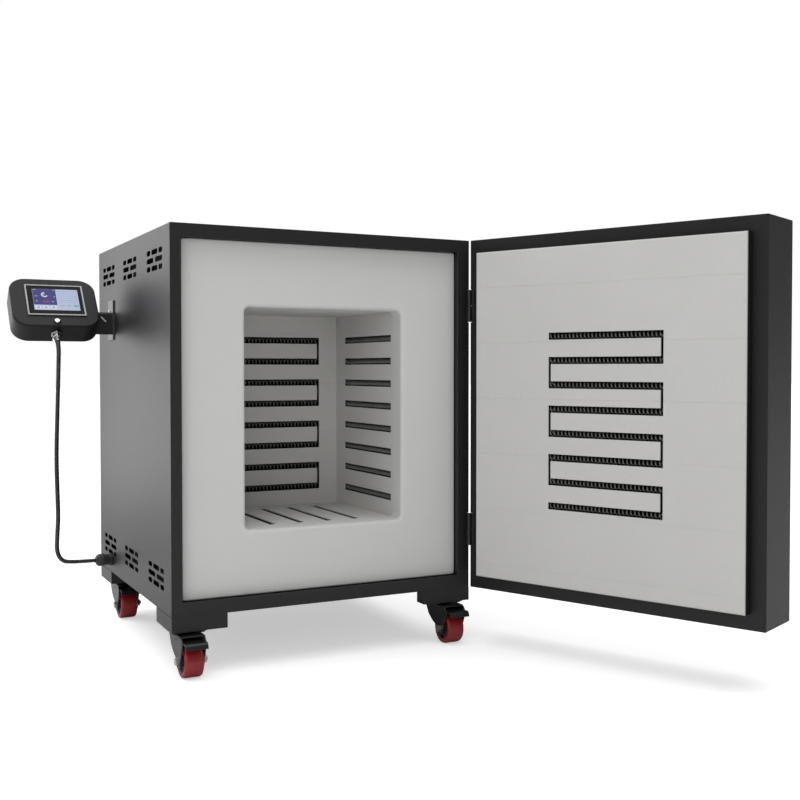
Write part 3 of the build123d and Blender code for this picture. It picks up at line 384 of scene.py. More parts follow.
def grained(label, low, high, roughness, swing=0.08, scale=900.0, patches=6.0, depth=0.00004,
            edge=None, rub=None, **plain):
    """A coated, moulded or metal finish: two near tones in patches, grain bump, and worn edges."""
    material, tree, shader = finish_of(label, low, roughness, **plain)
    texture = place_group(tree, grain, Scale=scale, Patch_scale=patches)
    colour = mix_colour(tree, texture.outputs["Patches"], low, high)
    rough = spread(tree, texture.outputs["Speckle"], roughness - swing, roughness + swing)
    normal = None
    if edge:
        rim = place_group(tree, edges, Radius=edge)
        normal = rim.outputs["Normal"]
        if rub:
            colour = mix_colour(tree, rim.outputs["Rub"], colour, rub)
    tree.links.new(colour, shader.inputs["Base Color"])
    tree.links.new(rough, shader.inputs["Roughness"])
    bump_from(tree, shader, texture.outputs["Height"], depth, normal=normal)
    return material


def paint(material, *names):
    """Give CAD nodes a finish by their material slots."""
    for name in names:
        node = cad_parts[name]
        if not node.material_slots:
            node.data.materials.append(material)
        for slot in node.material_slots:
            slot.material = material


# %% [markdown]
# The cabinet, the door and the feet are sheet steel with a charcoal powder coat: almost black, with
# a satin gloss and an orange-peel skin of about a millimetre. Coated edges rub a little lighter.

# %% Powder coat
powder = grained("Charcoal powder coat", (0.0090, 0.0091, 0.0093), (0.0125, 0.0126, 0.0129), 0.46,
                 swing=0.05, scale=1400.0, patches=3.0, depth=0.00003, edge=0.0012,
                 rub=(0.07, 0.07, 0.072), specular=0.42)
paint(powder, "cabinet_shell", "front_frame", "door_shell", "rear_cover", "foot_blocks")
# The inner casing and the bulkhead are near black so that the vent holes read black: painted shade
# behind the vents.
casing = grained("Inner casing, darkened as painted vent shade", (0.0035, 0.0035, 0.0036), (0.006, 0.006, 0.0062), 0.8,
                 scale=500.0, edge=0.0008, specular=0.12)
paint(casing, "inner_casing", "bulkhead")

# %% [markdown]
# The bricks are a warm light grey. Every brick is its own solid, so the dry joints are real gaps.
# The cast face round the mouth is the same material with a tighter skin, so its pores are few.

# %% Firebrick and cast face
def behind_face(tree, across, middle, half):
    """1 where a surface lies deeper than a wall's face, which is half away from a middle place."""
    dot = tree.nodes.new("ShaderNodeVectorMath")
    dot.operation = "DOT_PRODUCT"
    tree.links.new(object_place(tree), dot.inputs[0])
    dot.inputs[1].default_value = across
    offset = math_node(tree, "SUBTRACT", dot.outputs["Value"], Vector(across).dot(middle))
    depth = math_node(tree, "SUBTRACT", math_node(tree, "ABSOLUTE", offset), half * MM)
    ramp = tree.nodes.new("ShaderNodeMapRange")
    tree.links.new(depth, ramp.inputs["Value"])
    ramp.inputs["From Min"].default_value = 0.0012
    ramp.inputs["From Max"].default_value = 0.0030
    return ramp.outputs["Result"]


def brick_finish(label, low, high, scale, amount, depth, edge, groove=None):
    """A porous refractory finish. groove gives where the grooves behind a face begin; they get painted
    shade, near black.
    """
    material, tree, shader = finish_of(label, low, 0.93, specular=0.2)
    texture = place_group(tree, pores, Scale=scale, Amount=amount)
    rim = place_group(tree, edges, Radius=edge, **{"Break-up_scale": 90.0})
    tone = mix_colour(tree, texture.outputs["Mottle"], low, high)
    # Painted shade: the pores are mixed to a darker copy of the brick tone.
    dark = tuple(value * 0.62 for value in low)
    tone = mix_colour(tree, texture.outputs["Holes"], tone, dark)
    # Painted shade: brick surfaces deeper than the face, the groove walls and joint sides, are mixed
    # to near black.
    if groove:
        tone = mix_colour(tree, behind_face(tree, *groove), tone, (0.006, 0.006, 0.006))
    tree.links.new(tone, shader.inputs["Base Color"])
    tree.links.new(spread(tree, texture.outputs["Mottle"], 0.88, 0.98), shader.inputs["Roughness"])
    bump_from(tree, shader, texture.outputs["Height"], depth, normal=rim.outputs["Normal"])
    return material


BRICK_LOW, BRICK_HIGH = (0.650, 0.645, 0.626), (0.690, 0.685, 0.667)
OPEN_ANGLE = radians(113.3)
hinge_line = at(634.5, -2.5, 0)
DOOR_TURN = (Matrix.Translation(hinge_line) @ Matrix.Rotation(OPEN_ANGLE, 4, "Z")
             @ Matrix.Translation(-hinge_line))
door_depth = DOOR_TURN.to_3x3() @ Vector((0, 1, 0))
# Where each wall's face lies, for the painted shade on the grooves behind it.
GROOVE_SHADE_FACES = {
    "side_bricks": ((1, 0, 0), at(317.5, 0, 0), 167.5),
    "back_bricks": ((0, 1, 0), at(0, 0, 0), 355),
    "floor_bricks": ((0, 0, 1), at(0, 0, 500), 350),
    "door_bricks": (tuple(door_depth), DOOR_TURN @ at(0, 100, 0), 82.4),
    "roof_bricks": None,
}
for node, groove in GROOVE_SHADE_FACES.items():
    paint(brick_finish(f"Soft firebrick, {node.split('_')[0]}", BRICK_LOW, BRICK_HIGH, 420.0, 0.30,
                       0.0005, 0.0012, groove), node)
cast_face = brick_finish("Cast refractory face", (0.665, 0.663, 0.655), (0.695, 0.693, 0.686),
                         520.0, 0.16, 0.0003, 0.002)
paint(cast_face, "front_collar")

# %% [markdown]
# The smaller parts have their own finishes: zinc on bolts, hot-dark wire in the coils, glazed
# porcelain round the terminals, red urethane treads, moulded black plastic on the control box.

# %% Metals and mouldings
zinc = grained("Bright zinc plate", (0.50, 0.50, 0.49), (0.60, 0.60, 0.58), 0.30, swing=0.08,
               scale=700.0, patches=60.0, metallic=1.0, edge=0.0004)
nickel = grained("Nickel plate", (0.40, 0.395, 0.385), (0.50, 0.495, 0.485), 0.24, swing=0.05,
                 scale=900.0, patches=80.0, metallic=1.0, edge=0.0003)
button_steel = grained("Polished button steel", (0.66, 0.66, 0.66), (0.72, 0.72, 0.72), 0.20,
                       swing=0.04, scale=1500.0, patches=90.0, metallic=1.0)
heating_wire = grained("Oxidised heating wire", (0.20, 0.197, 0.19), (0.30, 0.295, 0.285), 0.40,
                       swing=0.10, scale=1200.0, patches=45.0, metallic=0.7)
porcelain = grained("Glazed porcelain", (0.74, 0.72, 0.68), (0.80, 0.78, 0.75), 0.18, swing=0.03,
                    scale=300.0, patches=20.0, depth=0.00001, Coat_Weight=0.4)
sheath = grained("Sintered ceramic sheath", (0.70, 0.66, 0.58), (0.78, 0.74, 0.66), 0.6,
                 scale=800.0, patches=25.0)
fibre_board = grained("Mineral fibre board", (0.52, 0.46, 0.36), (0.66, 0.60, 0.49), 0.95,
                      swing=0.03, scale=350.0, patches=15.0, depth=0.0003, specular=0.1)
urethane = grained("Red urethane tread", (0.25, 0.010, 0.012), (0.31, 0.014, 0.016), 0.34,
                   swing=0.07, scale=600.0, patches=35.0, depth=0.00004, edge=0.0008,
                   Subsurface_Weight=0.08, Subsurface_Scale=0.004)
caster_black = grained("Black caster enamel", (0.006, 0.006, 0.0065), (0.010, 0.010, 0.0105), 0.36,
                       swing=0.08, scale=800.0, patches=20.0, edge=0.0006,
                       rub=(0.10, 0.10, 0.10))
hub_nylon = grained("Black nylon hub", (0.014, 0.014, 0.015), (0.022, 0.022, 0.023), 0.5,
                    scale=500.0, patches=40.0)
hinge_steel = grained("Blackened hinge steel", (0.035, 0.035, 0.036), (0.055, 0.055, 0.056), 0.38,
                      swing=0.08, scale=500.0, patches=30.0, metallic=0.8, edge=0.0004)
box_black = grained("Matte black moulding", (0.0085, 0.0085, 0.0088), (0.0115, 0.0115, 0.0118), 0.58,
                    swing=0.05, scale=2200.0, patches=8.0, depth=0.00005, edge=0.0008,
                    specular=0.3)
bezel_metal = grained("Satin aluminium bezel", (0.20, 0.20, 0.20), (0.26, 0.26, 0.26), 0.34,
                      swing=0.06, scale=1600.0, patches=50.0, metallic=1.0, edge=0.0004)
display_glass, _, glass_shader = finish_of("Display glass", (0.0015, 0.0015, 0.002), 0.12,
                                           specular=0.10)
board_green = grained("Green circuit board", (0.012, 0.085, 0.035), (0.018, 0.12, 0.05), 0.4,
                      scale=600.0, patches=90.0)
conduit_black = grained("Black conduit", (0.05, 0.05, 0.051), (0.09, 0.09, 0.092), 0.26,
                        swing=0.08, scale=700.0, patches=40.0, metallic=0.8)
gland_black = grained("Black gland nylon", (0.012, 0.012, 0.013), (0.019, 0.019, 0.02), 0.45,
                      scale=900.0, patches=50.0, edge=0.0005)
# The bracket plate is the same black coat as the arm, lightened to grey as a painted reflection.
bracket_painted_sheen = grained("Bracket coat, lightened as painted reflection", (0.055, 0.055, 0.056), (0.075, 0.075, 0.076), 0.34,
                       swing=0.05, scale=1400.0, patches=10.0, depth=0.00003, edge=0.0008)
bracket_black = grained("Black bracket coat", (0.011, 0.011, 0.012), (0.016, 0.016, 0.017), 0.42,
                        swing=0.05, scale=1400.0, patches=10.0, depth=0.00003, edge=0.0008,
                        rub=(0.08, 0.08, 0.08))
paint(zinc, "rear_cover_screws", "bracket_screws",
      "handle_screws")
paint(heating_wire, "side_elements", "back_element", "floor_element", "door_element")
paint(porcelain, "element_terminals")
paint(sheath, "thermocouple")
paint(fibre_board, "insulation_boards", "door_insulation")
paint(box_black, "box_housing", "box_back_cover", "relays")
paint(bezel_metal, "screen_bezel")
paint(display_glass, "screen_glass")
paint(board_green, "circuit_board")
paint(button_steel, "start_button")
paint(nickel, "upper_gland")
paint(gland_black, "lower_gland", "mains_gland", "terminal_block")
paint(conduit_black, "conduit")
# Painted reflection: the bracket plate gets the lightened copy of the black coat.
paint(bracket_painted_sheen, "bracket_plate")
paint(bracket_black, "bracket_arm", "door_handle")
paint(hinge_steel, "cabinet_hinge_leaves", "door_hinge_leaves", "hinge_pins")
CASTERS = ("front_left", "front_right", "rear_left", "rear_right")
paint(caster_black, "caster_plates", "caster_bolts")
for caster in CASTERS:
    paint(caster_black, f"{caster}_fork", f"{caster}_brake_pedal")
    paint(urethane, f"{caster}_wheel")
    paint(zinc, f"{caster}_axle_bolt")
print(len(finishes), "finishes")

# %% [markdown]
# Pieces are modelled with the same few moves. A round piece starts as a small plane whose corners
# are merged to one vertex. The vertex is extruded along the outline and spun about the X axis. The
# finished piece is turned and moved into place, and its place is then applied to its mesh.

# %% Modelling helpers
def pick_none():
    """Leave object mode's selection empty, because an operator acts on all that is selected."""
    if bpy.context.object and bpy.context.object.mode != "OBJECT":
        bpy.ops.object.mode_set(mode="OBJECT")
    bpy.ops.object.select_all(action="DESELECT")


def pick(piece):
    """Make one piece the only selected one."""
    pick_none()
    piece.select_set(True)
    bpy.context.view_layer.objects.active = piece


def named(name, *materials):
    """Name the piece that was just added, and give it its materials."""
    piece = bpy.context.object
    piece.name = piece.data.name = name
    piece.data.materials.clear()
    for material in materials:
        piece.data.materials.append(material)
    return piece


def outline_vertex(name, first):
    """A mesh of one vertex, in edit mode, ready to be extruded."""
    pick_none()
    bpy.ops.mesh.primitive_plane_add(size=0.001, location=(0, 0, 0))
    piece = named(name)
    bpy.ops.object.mode_set(mode="EDIT")
    bpy.ops.mesh.merge(type="CENTER")
    bpy.ops.transform.translate(value=first)
    return piece


def extrude_to(points):
    """Extrude the selected vertex through points, each given from the first as millimetres."""
    for before, after in zip(points, points[1:]):
        step = (Vector(after) - Vector(before)) * MM
        bpy.ops.mesh.extrude_region_move(TRANSFORM_OT_translate={"value": step})


def turned(name, outline, material, steps=32, sweep=tau):
    """A round piece about the X axis: outline is (along, radius) pairs in millimetres."""
    points = [(along, 0, radius) for along, radius in outline]
    piece = outline_vertex(name, Vector(points[0]) * MM)
    extrude_to(points)
    bpy.ops.mesh.select_all(action="SELECT")
    bpy.ops.mesh.spin(steps=steps, angle=sweep, center=(0, 0, 0), axis=(1, 0, 0))
    bpy.ops.mesh.select_all(action="SELECT")
    bpy.ops.mesh.remove_doubles(threshold=0.000005)
    bpy.ops.mesh.normals_make_consistent(inside=False)
    bpy.ops.object.mode_set(mode="OBJECT")
    piece.data.materials.append(material)
    return piece


def use_modifier(piece, kind, **settings):
    """Add a modifier with its settings and apply it."""
    pick(piece)
    modifier = piece.modifiers.new(kind.title(), kind)
    for label, value in settings.items():
        setattr(modifier, label, value)
    bpy.ops.object.modifier_apply(modifier=modifier.name)
    return piece


def settle(piece, matrix=None, smooth=40):
    """Put a piece in place, write the place into its mesh and shade it smooth."""
    pick(piece)
    if matrix is not None:
        piece.matrix_world = matrix @ piece.matrix_world
        bpy.context.view_layer.update()
    bpy.ops.object.transform_apply(location=True, rotation=True, scale=True)
    if smooth:
        bpy.ops.object.shade_smooth_by_angle(angle=radians(smooth))
    return piece


def copy_of(piece, name, matrix):
    """A copy with its own mesh, moved by a matrix and settled."""
    twin = piece.copy()
    twin.data = piece.data.copy()
    twin.name = twin.data.name = name
    bpy.context.scene.collection.objects.link(twin)
    return settle(twin, matrix, smooth=0)


def joined(name, parts):
    """Several meshes made into one piece."""
    pick(parts[0])
    for part in parts[1:]:
        part.select_set(True)
    bpy.ops.object.join()
    piece = bpy.context.object
    piece.name = piece.data.name = name
    return piece


def turn_to(direction, place):
    """The matrix that takes the X axis to a direction and the origin to a place on the drawing."""
    turn = Vector(direction).to_track_quat("X", "Z").to_matrix().to_4x4()
    return Matrix.Translation(at(*place)) @ turn


# %% [markdown]
# The conduit is a corrugated steel-cored tube, about a centimetre thick, with a rib every two and a
# half millimetres. One rib is turned on its own. An Array modifier repeats it, and a Curve modifier
# lays the row of ribs along the centre line, so each rib stays square to the tube round every bend.

# %% Ribbed conduit
RIB_PITCH = 3.8
rib_count = round(conduit_reach / MM / RIB_PITCH)
rib = RIB_PITCH = conduit_reach / MM / rib_count
conduit = turned("conduit_ribs", [
    (0, 3.5), (0.16 * rib, 4.3), (0.36 * rib, CONDUIT_R), (0.64 * rib, CONDUIT_R),
    (0.84 * rib, 4.3), (rib, 3.5),
], conduit_black, steps=16)
use_modifier(conduit, "ARRAY", count=rib_count, use_relative_offset=False,
             use_constant_offset=True, constant_offset_displace=(rib * MM, 0, 0),
             use_merge_vertices=True, merge_threshold=0.00002)
use_modifier(conduit, "CURVE", object=conduit_line, deform_axis="POS_X")
settle(conduit)
bpy.data.objects.remove(conduit_line)
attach(conduit, "cabinet")
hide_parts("conduit")
print("conduit ribs", rib_count, "faces", len(conduit.data.polygons))

# %% [markdown]
# The heating coils are resistance wire wound into long springs, which lie in grooves cut in the
# bricks and light up when the kiln fires. A Screw modifier winds one small circle of wire into a
# whole row, and the row is copied to every groove of its wall. Twelve steps a turn keep it light.

# %% One row of coil
ROW_Z = tuple(525 - 47.8 * row for row in range(8))
COIL_R, WIRE_R, LEAD_R = 6.2, 1.3, 2.4


def coil_row(name, length, turns):
    """A coil along the X axis, from 0 to its length in millimetres."""
    pick_none()
    bpy.ops.mesh.primitive_circle_add(
        vertices=6, radius=WIRE_R * MM, location=(0, 0, (COIL_R - WIRE_R) * MM),
        rotation=(pi / 2, 0, 0),
    )
    piece = named(name, heating_wire)
    bpy.ops.object.transform_apply(location=True, rotation=True, scale=True)
    use_modifier(piece, "SCREW", axis="X", angle=tau, screw_offset=length / turns * MM,
                 iterations=turns, steps=12, render_steps=12, use_smooth_shade=True)
    bpy.ops.object.mode_set(mode="EDIT")
    bpy.ops.mesh.select_all(action="SELECT")
    bpy.ops.mesh.fill_holes(sides=8)
    bpy.ops.mesh.normals_make_consistent(inside=False)
    bpy.ops.object.mode_set(mode="OBJECT")
    return piece


def wire(name, points, radius, material, lift=None):
    """A round wire along a NURBS line through drawing places, made a mesh."""
    line = nurbs_line(name, points)
    line.data.bevel_depth = radius * MM
    line.data.bevel_resolution = 2
    line.data.resolution_u = 4
    line.data.use_fill_caps = True
    line.data.materials.append(material)
    pick(line)
    bpy.ops.object.convert(target="MESH")
    return settle(bpy.context.object, lift, smooth=60)


# %% [markdown]
# Each wall has one long element: rows of coil joined end to end by a plain piece of the same wire.
# The joining wire turns out of the coil, runs along the upright groove and turns back in. One helper
# lays the rows and the joins of a wall, and joins them into a single piece for that wall.

# %% Elements in the walls, the floor and the door
def element(name, node, rows, first_join, body, leads=(), lift=None):
    """Coils along rows of (start, end) places, joined in a serpentine, as one piece."""
    start, end = Vector(rows[0][0]), Vector(rows[0][1])
    length = (end - start).length
    master = coil_row(f"{name}_master", length, round(length / 8.4))
    parts = []
    for number, (row_start, row_end) in enumerate(rows):
        place = turn_to(end - start, row_start)
        parts.append(copy_of(master, f"{name}_row_{number}", lift @ place if lift else place))
    bpy.data.objects.remove(master)
    inward = (end - start).normalized() * 7
    for number, (above, below) in enumerate(zip(rows, rows[1:])):
        side = (number + first_join) % 2
        step = -inward if side else inward
        a, b = Vector(above[side]), Vector(below[side])
        parts.append(wire(f"{name}_join_{number}", (a + step, a, b, b + step), WIRE_R,
                          heating_wire, lift))
    for number, (a, b) in enumerate(leads):
        parts.append(wire(f"{name}_lead_{number}", (a, (Vector(a) + Vector(b)) / 2, b), LEAD_R,
                          heating_wire, lift))
    piece = joined(name, parts)
    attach(piece, body)
    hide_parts(node)
    print(name, len(piece.data.polygons), "faces")
    return piece


LEAD_END_Y = 506
side_rows = []
for side, x in (("left", 141.5), ("right", 493.5)):
    rows = [((x, 306, z), (x, 70, z)) for z in ROW_Z]
    leads = [((x, 300, z), (x, LEAD_END_Y, z)) for z in (ROW_Z[0], ROW_Z[-1])]
    side_rows.append(element(f"coils_{side}", "side_elements", rows, 1, "cabinet", leads))
element("coils_back", "back_element", [((195, 363.5, z), (440, 363.5, z)) for z in ROW_Z], 1,
        "cabinet", [((197, 363.5, z), (197, LEAD_END_Y, z)) for z in (ROW_Z[0], ROW_Z[-1])])
element("coils_floor", "floor_element",
        [((x, 314.5, 140), (x, 76.5, 140)) for x in (226, 287, 348, 409)], 1, "cabinet",
        [((x, 312, 140), (x, LEAD_END_Y, 140)) for x in (226, 409)])

element("coils_door", "door_element", [((182.5, 9.1, z), (425.5, 9.1, z)) for z in ROW_Z], 0,
        "door", lift=DOOR_TURN)

# %% [markdown]
# Each caster wheel is a cast red urethane tread on a black nylon hub. Both are turned from an
# outline. The tread has soft shoulders and a proud side ring. The hub has a dished web, a raised
# boss and a steel sleeve for the axle. They are turned once and copied to the four casters.

# %% Caster wheels
WHEEL_R, TREAD_HALF, TRAIL, AXLE_Z = 31.75, 18.5, 38, -82.25
tread = turned("tread", [
    (-16.2, 22.5), (-17.6, 23), (-18.2, 25.5), (-18.5, 27.8), (-17.4, 30.2), (-15, 31.4),
    (-12.5, 31.75), (12.5, 31.75), (15, 31.4), (17.4, 30.2), (18.5, 27.8), (18.2, 25.5),
    (17.6, 23), (16.2, 22.5), (-16.2, 22.5),
], urethane, steps=48)
hub = turned("hub", [
    (-19.8, 4.2), (-19.8, 9), (-18.8, 10), (-13.5, 10.6), (-12.6, 12), (-13.2, 19.5), (-16.6, 20.6),
    (-17.2, 22.6), (17.2, 22.6), (16.6, 20.6), (13.2, 19.5), (12.6, 12), (13.5, 10.6), (18.8, 10),
    (19.8, 9), (19.8, 4.2), (-19.8, 4.2),
], hub_nylon, steps=40)
STEMS = {"front_left": (36, 43), "front_right": (590.5, 43), "rear_left": (40.5, 587),
         "rear_right": (594, 587)}
for caster, (stem_x, stem_y) in STEMS.items():
    place = Matrix.Translation(at(stem_x, stem_y - TRAIL, AXLE_Z))
    wheel = copy_of(tread, f"{caster}_tread", place)
    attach(wheel, f"{caster}_roller")
    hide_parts(f"{caster}_wheel")
    core = copy_of(hub, f"{caster}_hub", place)
    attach(core, f"{caster}_roller")
    for piece in (wheel, core):
        pick(piece)
        bpy.ops.object.shade_smooth_by_angle(angle=radians(35))
bpy.data.objects.remove(tread)
bpy.data.objects.remove(hub)
print("wheels", len(STEMS))

# %% [markdown]
# The control box leans back, so its screen, button and gland are made flat at the origin and then
# lifted onto the face by one matrix. Its columns are the face's own right, up and outward axes.

# %% The control box's face
TILT = radians(41.8)
BOX_CENTRE = (-135, 420, 602)
FACE_TURN = Matrix.Translation(at(*BOX_CENTRE)) @ Matrix((
    (1, 0, 0, 0), (0, sin(TILT), -cos(TILT), 0), (0, cos(TILT), sin(TILT), 0), (0, 0, 0, 1),
))
display_blue = grained("Display blue", (0.042, 0.040, 0.135), (0.055, 0.053, 0.165), 0.3, swing=0.03,
                       scale=1200.0, specular=0.08, patches=40.0, Emission_Strength=0.35,
                       Emission_Color=(0.06, 0.058, 0.2, 1))
display_pale = grained("Display pale blue", (0.24, 0.27, 0.36), (0.27, 0.30, 0.39), 0.3, swing=0.03,
                       scale=1200.0, specular=0.08, patches=30.0, Emission_Strength=0.55,
                       Emission_Color=(0.40, 0.46, 0.62, 1))
display_line = grained("Display grey line", (0.17, 0.19, 0.26), (0.20, 0.22, 0.29), 0.3, swing=0.03,
                       scale=1200.0, specular=0.08, patches=30.0)
display_white = grained("Display white", (0.42, 0.43, 0.52), (0.46, 0.47, 0.56), 0.3, swing=0.03,
                        scale=1200.0, specular=0.08, patches=30.0, Emission_Strength=0.3,
                        Emission_Color=(0.8, 0.82, 0.9, 1))
display_red = grained("Display red", (0.40, 0.10, 0.09), (0.46, 0.13, 0.11), 0.3, swing=0.03,
                      scale=1200.0, specular=0.08, patches=30.0, Emission_Strength=0.3,
                      Emission_Color=(0.6, 0.12, 0.1, 1))
display_yellow = grained("Display yellow", (0.44, 0.42, 0.16), (0.5, 0.48, 0.2), 0.3, swing=0.03,
                         scale=1200.0, specular=0.08, patches=30.0)
display_green = grained("Display green", (0.05, 0.30, 0.18), (0.07, 0.36, 0.22), 0.3, swing=0.03,
                        scale=1200.0, specular=0.08, patches=30.0)


def plate(name, centre, size, lift, material, thick=0.12):
    """A thin plate with eased edges that lies flat above the face, in millimetres."""
    pick_none()
    bpy.ops.mesh.primitive_plane_add(size=1, location=(0, 0, 0))
    piece = named(name, material)
    bpy.ops.object.mode_set(mode="EDIT")
    bpy.ops.transform.resize(value=(size[0] * MM, size[1] * MM, 1))
    bpy.ops.mesh.extrude_region_move(TRANSFORM_OT_translate={"value": (0, 0, thick * MM)})
    bpy.ops.mesh.select_all(action="SELECT")
    bpy.ops.mesh.normals_make_consistent(inside=False)
    bpy.ops.object.mode_set(mode="OBJECT")
    use_modifier(piece, "BEVEL", width=0.03 * MM, segments=1)
    return settle(piece, Matrix.Translation(Vector((*centre, lift)) * MM), smooth=0)


def arc_band(name, centre, inner, outer, start, sweep, lift, material):
    """Part of a flat ring, spun from a short radial line."""
    points = [(inner * cos(start), inner * sin(start), 0), (outer * cos(start), outer * sin(start), 0)]
    piece = outline_vertex(name, Vector(points[0]) * MM)
    extrude_to(points)
    bpy.ops.mesh.select_all(action="SELECT")
    bpy.ops.mesh.spin(steps=24, angle=sweep, center=(0, 0, 0), axis=(0, 0, 1))
    bpy.ops.object.mode_set(mode="OBJECT")
    piece.data.materials.append(material)
    use_modifier(piece, "SOLIDIFY", thickness=0.1 * MM, offset=0)
    pick(piece)
    bpy.ops.object.mode_set(mode="EDIT")
    bpy.ops.mesh.select_all(action="SELECT")
    bpy.ops.mesh.normals_make_consistent(inside=False)
    bpy.ops.object.mode_set(mode="OBJECT")
    return settle(piece, Matrix.Translation(Vector((*centre, lift)) * MM), smooth=0)


# %% [markdown]
# The touchscreen shows a dark panel with a round gauge and the set and real temperatures, a pale
# chart beside it, and a row of buttons below. The numbers are built from the bars of a seven-segment
# digit. Every part is a thin plate a little above the glass, so nothing needs a picture file.

# %% Touchscreen picture
GLASS_TOP = 1.2
SEGMENTS = {"top": (0, 1, 1), "middle": (0, 0, 1), "bottom": (0, -1, 1), "upper_left": (-1, 0.5, 0),
            "upper_right": (1, 0.5, 0), "lower_left": (-1, -0.5, 0), "lower_right": (1, -0.5, 0)}
DIGITS = {
    "0": ("top", "bottom", "upper_left", "upper_right", "lower_left", "lower_right"),
    "1": ("upper_right", "lower_right"),
    "2": ("top", "middle", "bottom", "upper_right", "lower_left"),
    "5": ("top", "middle", "bottom", "upper_left", "lower_right"),
    "8": tuple(SEGMENTS),
}


def number_plates(text, centre, height, material):
    """A number in seven-segment bars, centred on a place."""
    parts = []
    width = height * 0.5
    for place, digit in enumerate(text):
        x = centre[0] + (place - (len(text) - 1) / 2) * width * 1.6
        for segment in DIGITS[digit]:
            across, up, flat_bar = SEGMENTS[segment]
            size = (width * 0.8, height * 0.13) if flat_bar else (height * 0.13, height * 0.4)
            parts.append(plate("bar", (x + across * width / 2, centre[1] + up * height / 2), size,
                               GLASS_TOP + 0.14, material, 0.08))
    return parts


VIEW_X, VIEW_Y, VIEW_W, VIEW_H = 3.8, 6.0, 93.0, 62.0


def on_view(u, v):
    """A place on the picture, from fractions of its width and height from the top left."""
    return VIEW_X + (u - 0.5) * VIEW_W, VIEW_Y + (0.5 - v) * VIEW_H


picture = [
    plate("view", (VIEW_X, VIEW_Y), (VIEW_W, VIEW_H), GLASS_TOP, display_pale),
    plate("dial_panel", on_view(0.257, 0.38), (0.505 * VIEW_W, 0.75 * VIEW_H), GLASS_TOP + 0.06,
          display_blue),
    arc_band("gauge", on_view(0.26, 0.27), 4.2, 7.2, radians(-30), radians(240), GLASS_TOP + 0.22,
             display_white),
    arc_band("gauge_mark", on_view(0.26, 0.27), 1.4, 2.6, radians(200), radians(140),
             GLASS_TOP + 0.22, display_white),
]
picture += number_plates("20", on_view(0.26, 0.40), 3.0, display_red)
picture += number_plates("1250", on_view(0.26, 0.60), 5.0, display_red)
for u, v, wide in ((0.05, 0.04, 5), (0.47, 0.05, 3), (0.07, 0.34, 5), (0.47, 0.36, 3),
                   (0.07, 0.58, 4), (0.42, 0.60, 4)):
    picture.append(plate("mark", on_view(u, v), (wide, 1.3), GLASS_TOP + 0.16, display_white))
for row in range(6):
    picture.append(plate("rule", on_view(0.76, 0.10 + 0.105 * row), (0.44 * VIEW_W, 0.35),
                         GLASS_TOP + 0.08, display_line))
for column in range(3):
    u = 0.09 + 0.165 * column
    picture.append(plate("key", on_view(u, 0.88), (0.14 * VIEW_W, 0.16 * VIEW_H), GLASS_TOP + 0.06,
                         display_white))
    picture.append(plate("key_icon", on_view(u, 0.88), (4.5, 3.0), GLASS_TOP + 0.2, display_line))
picture.append(plate("hold_key", on_view(0.62, 0.78), (10, 2.6), GLASS_TOP + 0.1, display_yellow))
picture.append(plate("status", on_view(0.76, 0.78), (9, 1.2), GLASS_TOP + 0.1, display_line))
picture.append(plate("run_key", on_view(0.92, 0.78), (10, 2.8), GLASS_TOP + 0.1, display_green))
screen_picture = joined("screen_picture", picture)
settle(screen_picture, FACE_TURN, smooth=0)
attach(screen_picture, "cabinet")
print("screen picture", len(picture), "plates")

# %% [markdown]
# The start button is a domed cap of polished steel in a black ring. It is one turned outline that
# stands on the X axis, so the X axis is first turned to the face's outward direction. It rides its
# own body, and sinks into the box when it is pressed.

# %% Start button
BUTTON_AT = (-0.6, -56.5)
OUTWARD = FACE_TURN @ Matrix.Translation(Vector((*BUTTON_AT, 0)) * MM) @ Matrix.Rotation(
    -pi / 2, 4, "Y")
cap = turned("start_cap", [
    (-9, 0), (-9, 8), (-7, 8), (-7, 6), (2.2, 6), (2.9, 5.8), (3.5, 5.2), (3.9, 4.2), (4.05, 2.4),
    (4.1, 0),
], button_steel, steps=36)
settle(cap, OUTWARD, smooth=35)
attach(cap, "start_button")
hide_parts("start_button")
ring = turned("button_ring", [(0, 6.3), (1.0, 6.3), (1.4, 6.7), (1.4, 7.6), (0.9, 8.2), (0, 8.4),
                              (0, 6.3)], box_black, steps=36)
settle(ring, OUTWARD, smooth=35)
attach(ring, "cabinet")

# %% [markdown]
# The conduit hangs from a nickel plated gland: a hexagon nut against the box, a short thread, a
# second nut and a tapered collar. A hexagon is a turned shape with six steps, and its outline
# carries the chamfers. The parts are joined and hung under the box along the conduit's first run.

# %% Nickel gland
UNDER = (-137, 389.0, 535.82)
UNDER_WAY = (0, -sin(TILT), -cos(TILT))
gland_parts = [
    turned("hex_nut", [(0, 0), (0, 9.8), (1.1, 11.6), (5.0, 11.6), (6.0, 9.8), (6.0, 0)], nickel, 6),
    turned("thread", [(5.8, 0), (5.8, 8)] + [
        (6.0 + 0.8 * turn + along, radius) for turn in range(4)
        for along, radius in ((0, 7.8), (0.4, 8.6))
    ] + [(9.4, 7.8), (9.4, 0)], nickel, 24),
    turned("dome_nut", [(9.2, 0), (9.2, 9.4), (10.2, 11.0), (15.6, 11.0), (16.8, 9.2), (16.8, 0)],
           nickel, 6),
    turned("collar", [(16.6, 0), (16.6, 9.0), (19, 8.4), (22, 6.8), (25, 6.2), (25, 0)],
           nickel, 32),
]
nickel_gland = joined("nickel_gland", gland_parts)
settle(nickel_gland, turn_to(UNDER_WAY, UNDER), smooth=25)
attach(nickel_gland, "cabinet")
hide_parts("upper_gland")
print("gland", len(nickel_gland.data.polygons), "faces")

# %% [markdown]
# The rear cover and the bracket are held by pan-head screws with a cross recess. One head is turned,
# a Boolean modifier cuts the cross with two slim blocks, and the head is copied to every hole. The
# shanks are inside the sheet, so only the heads are modelled.

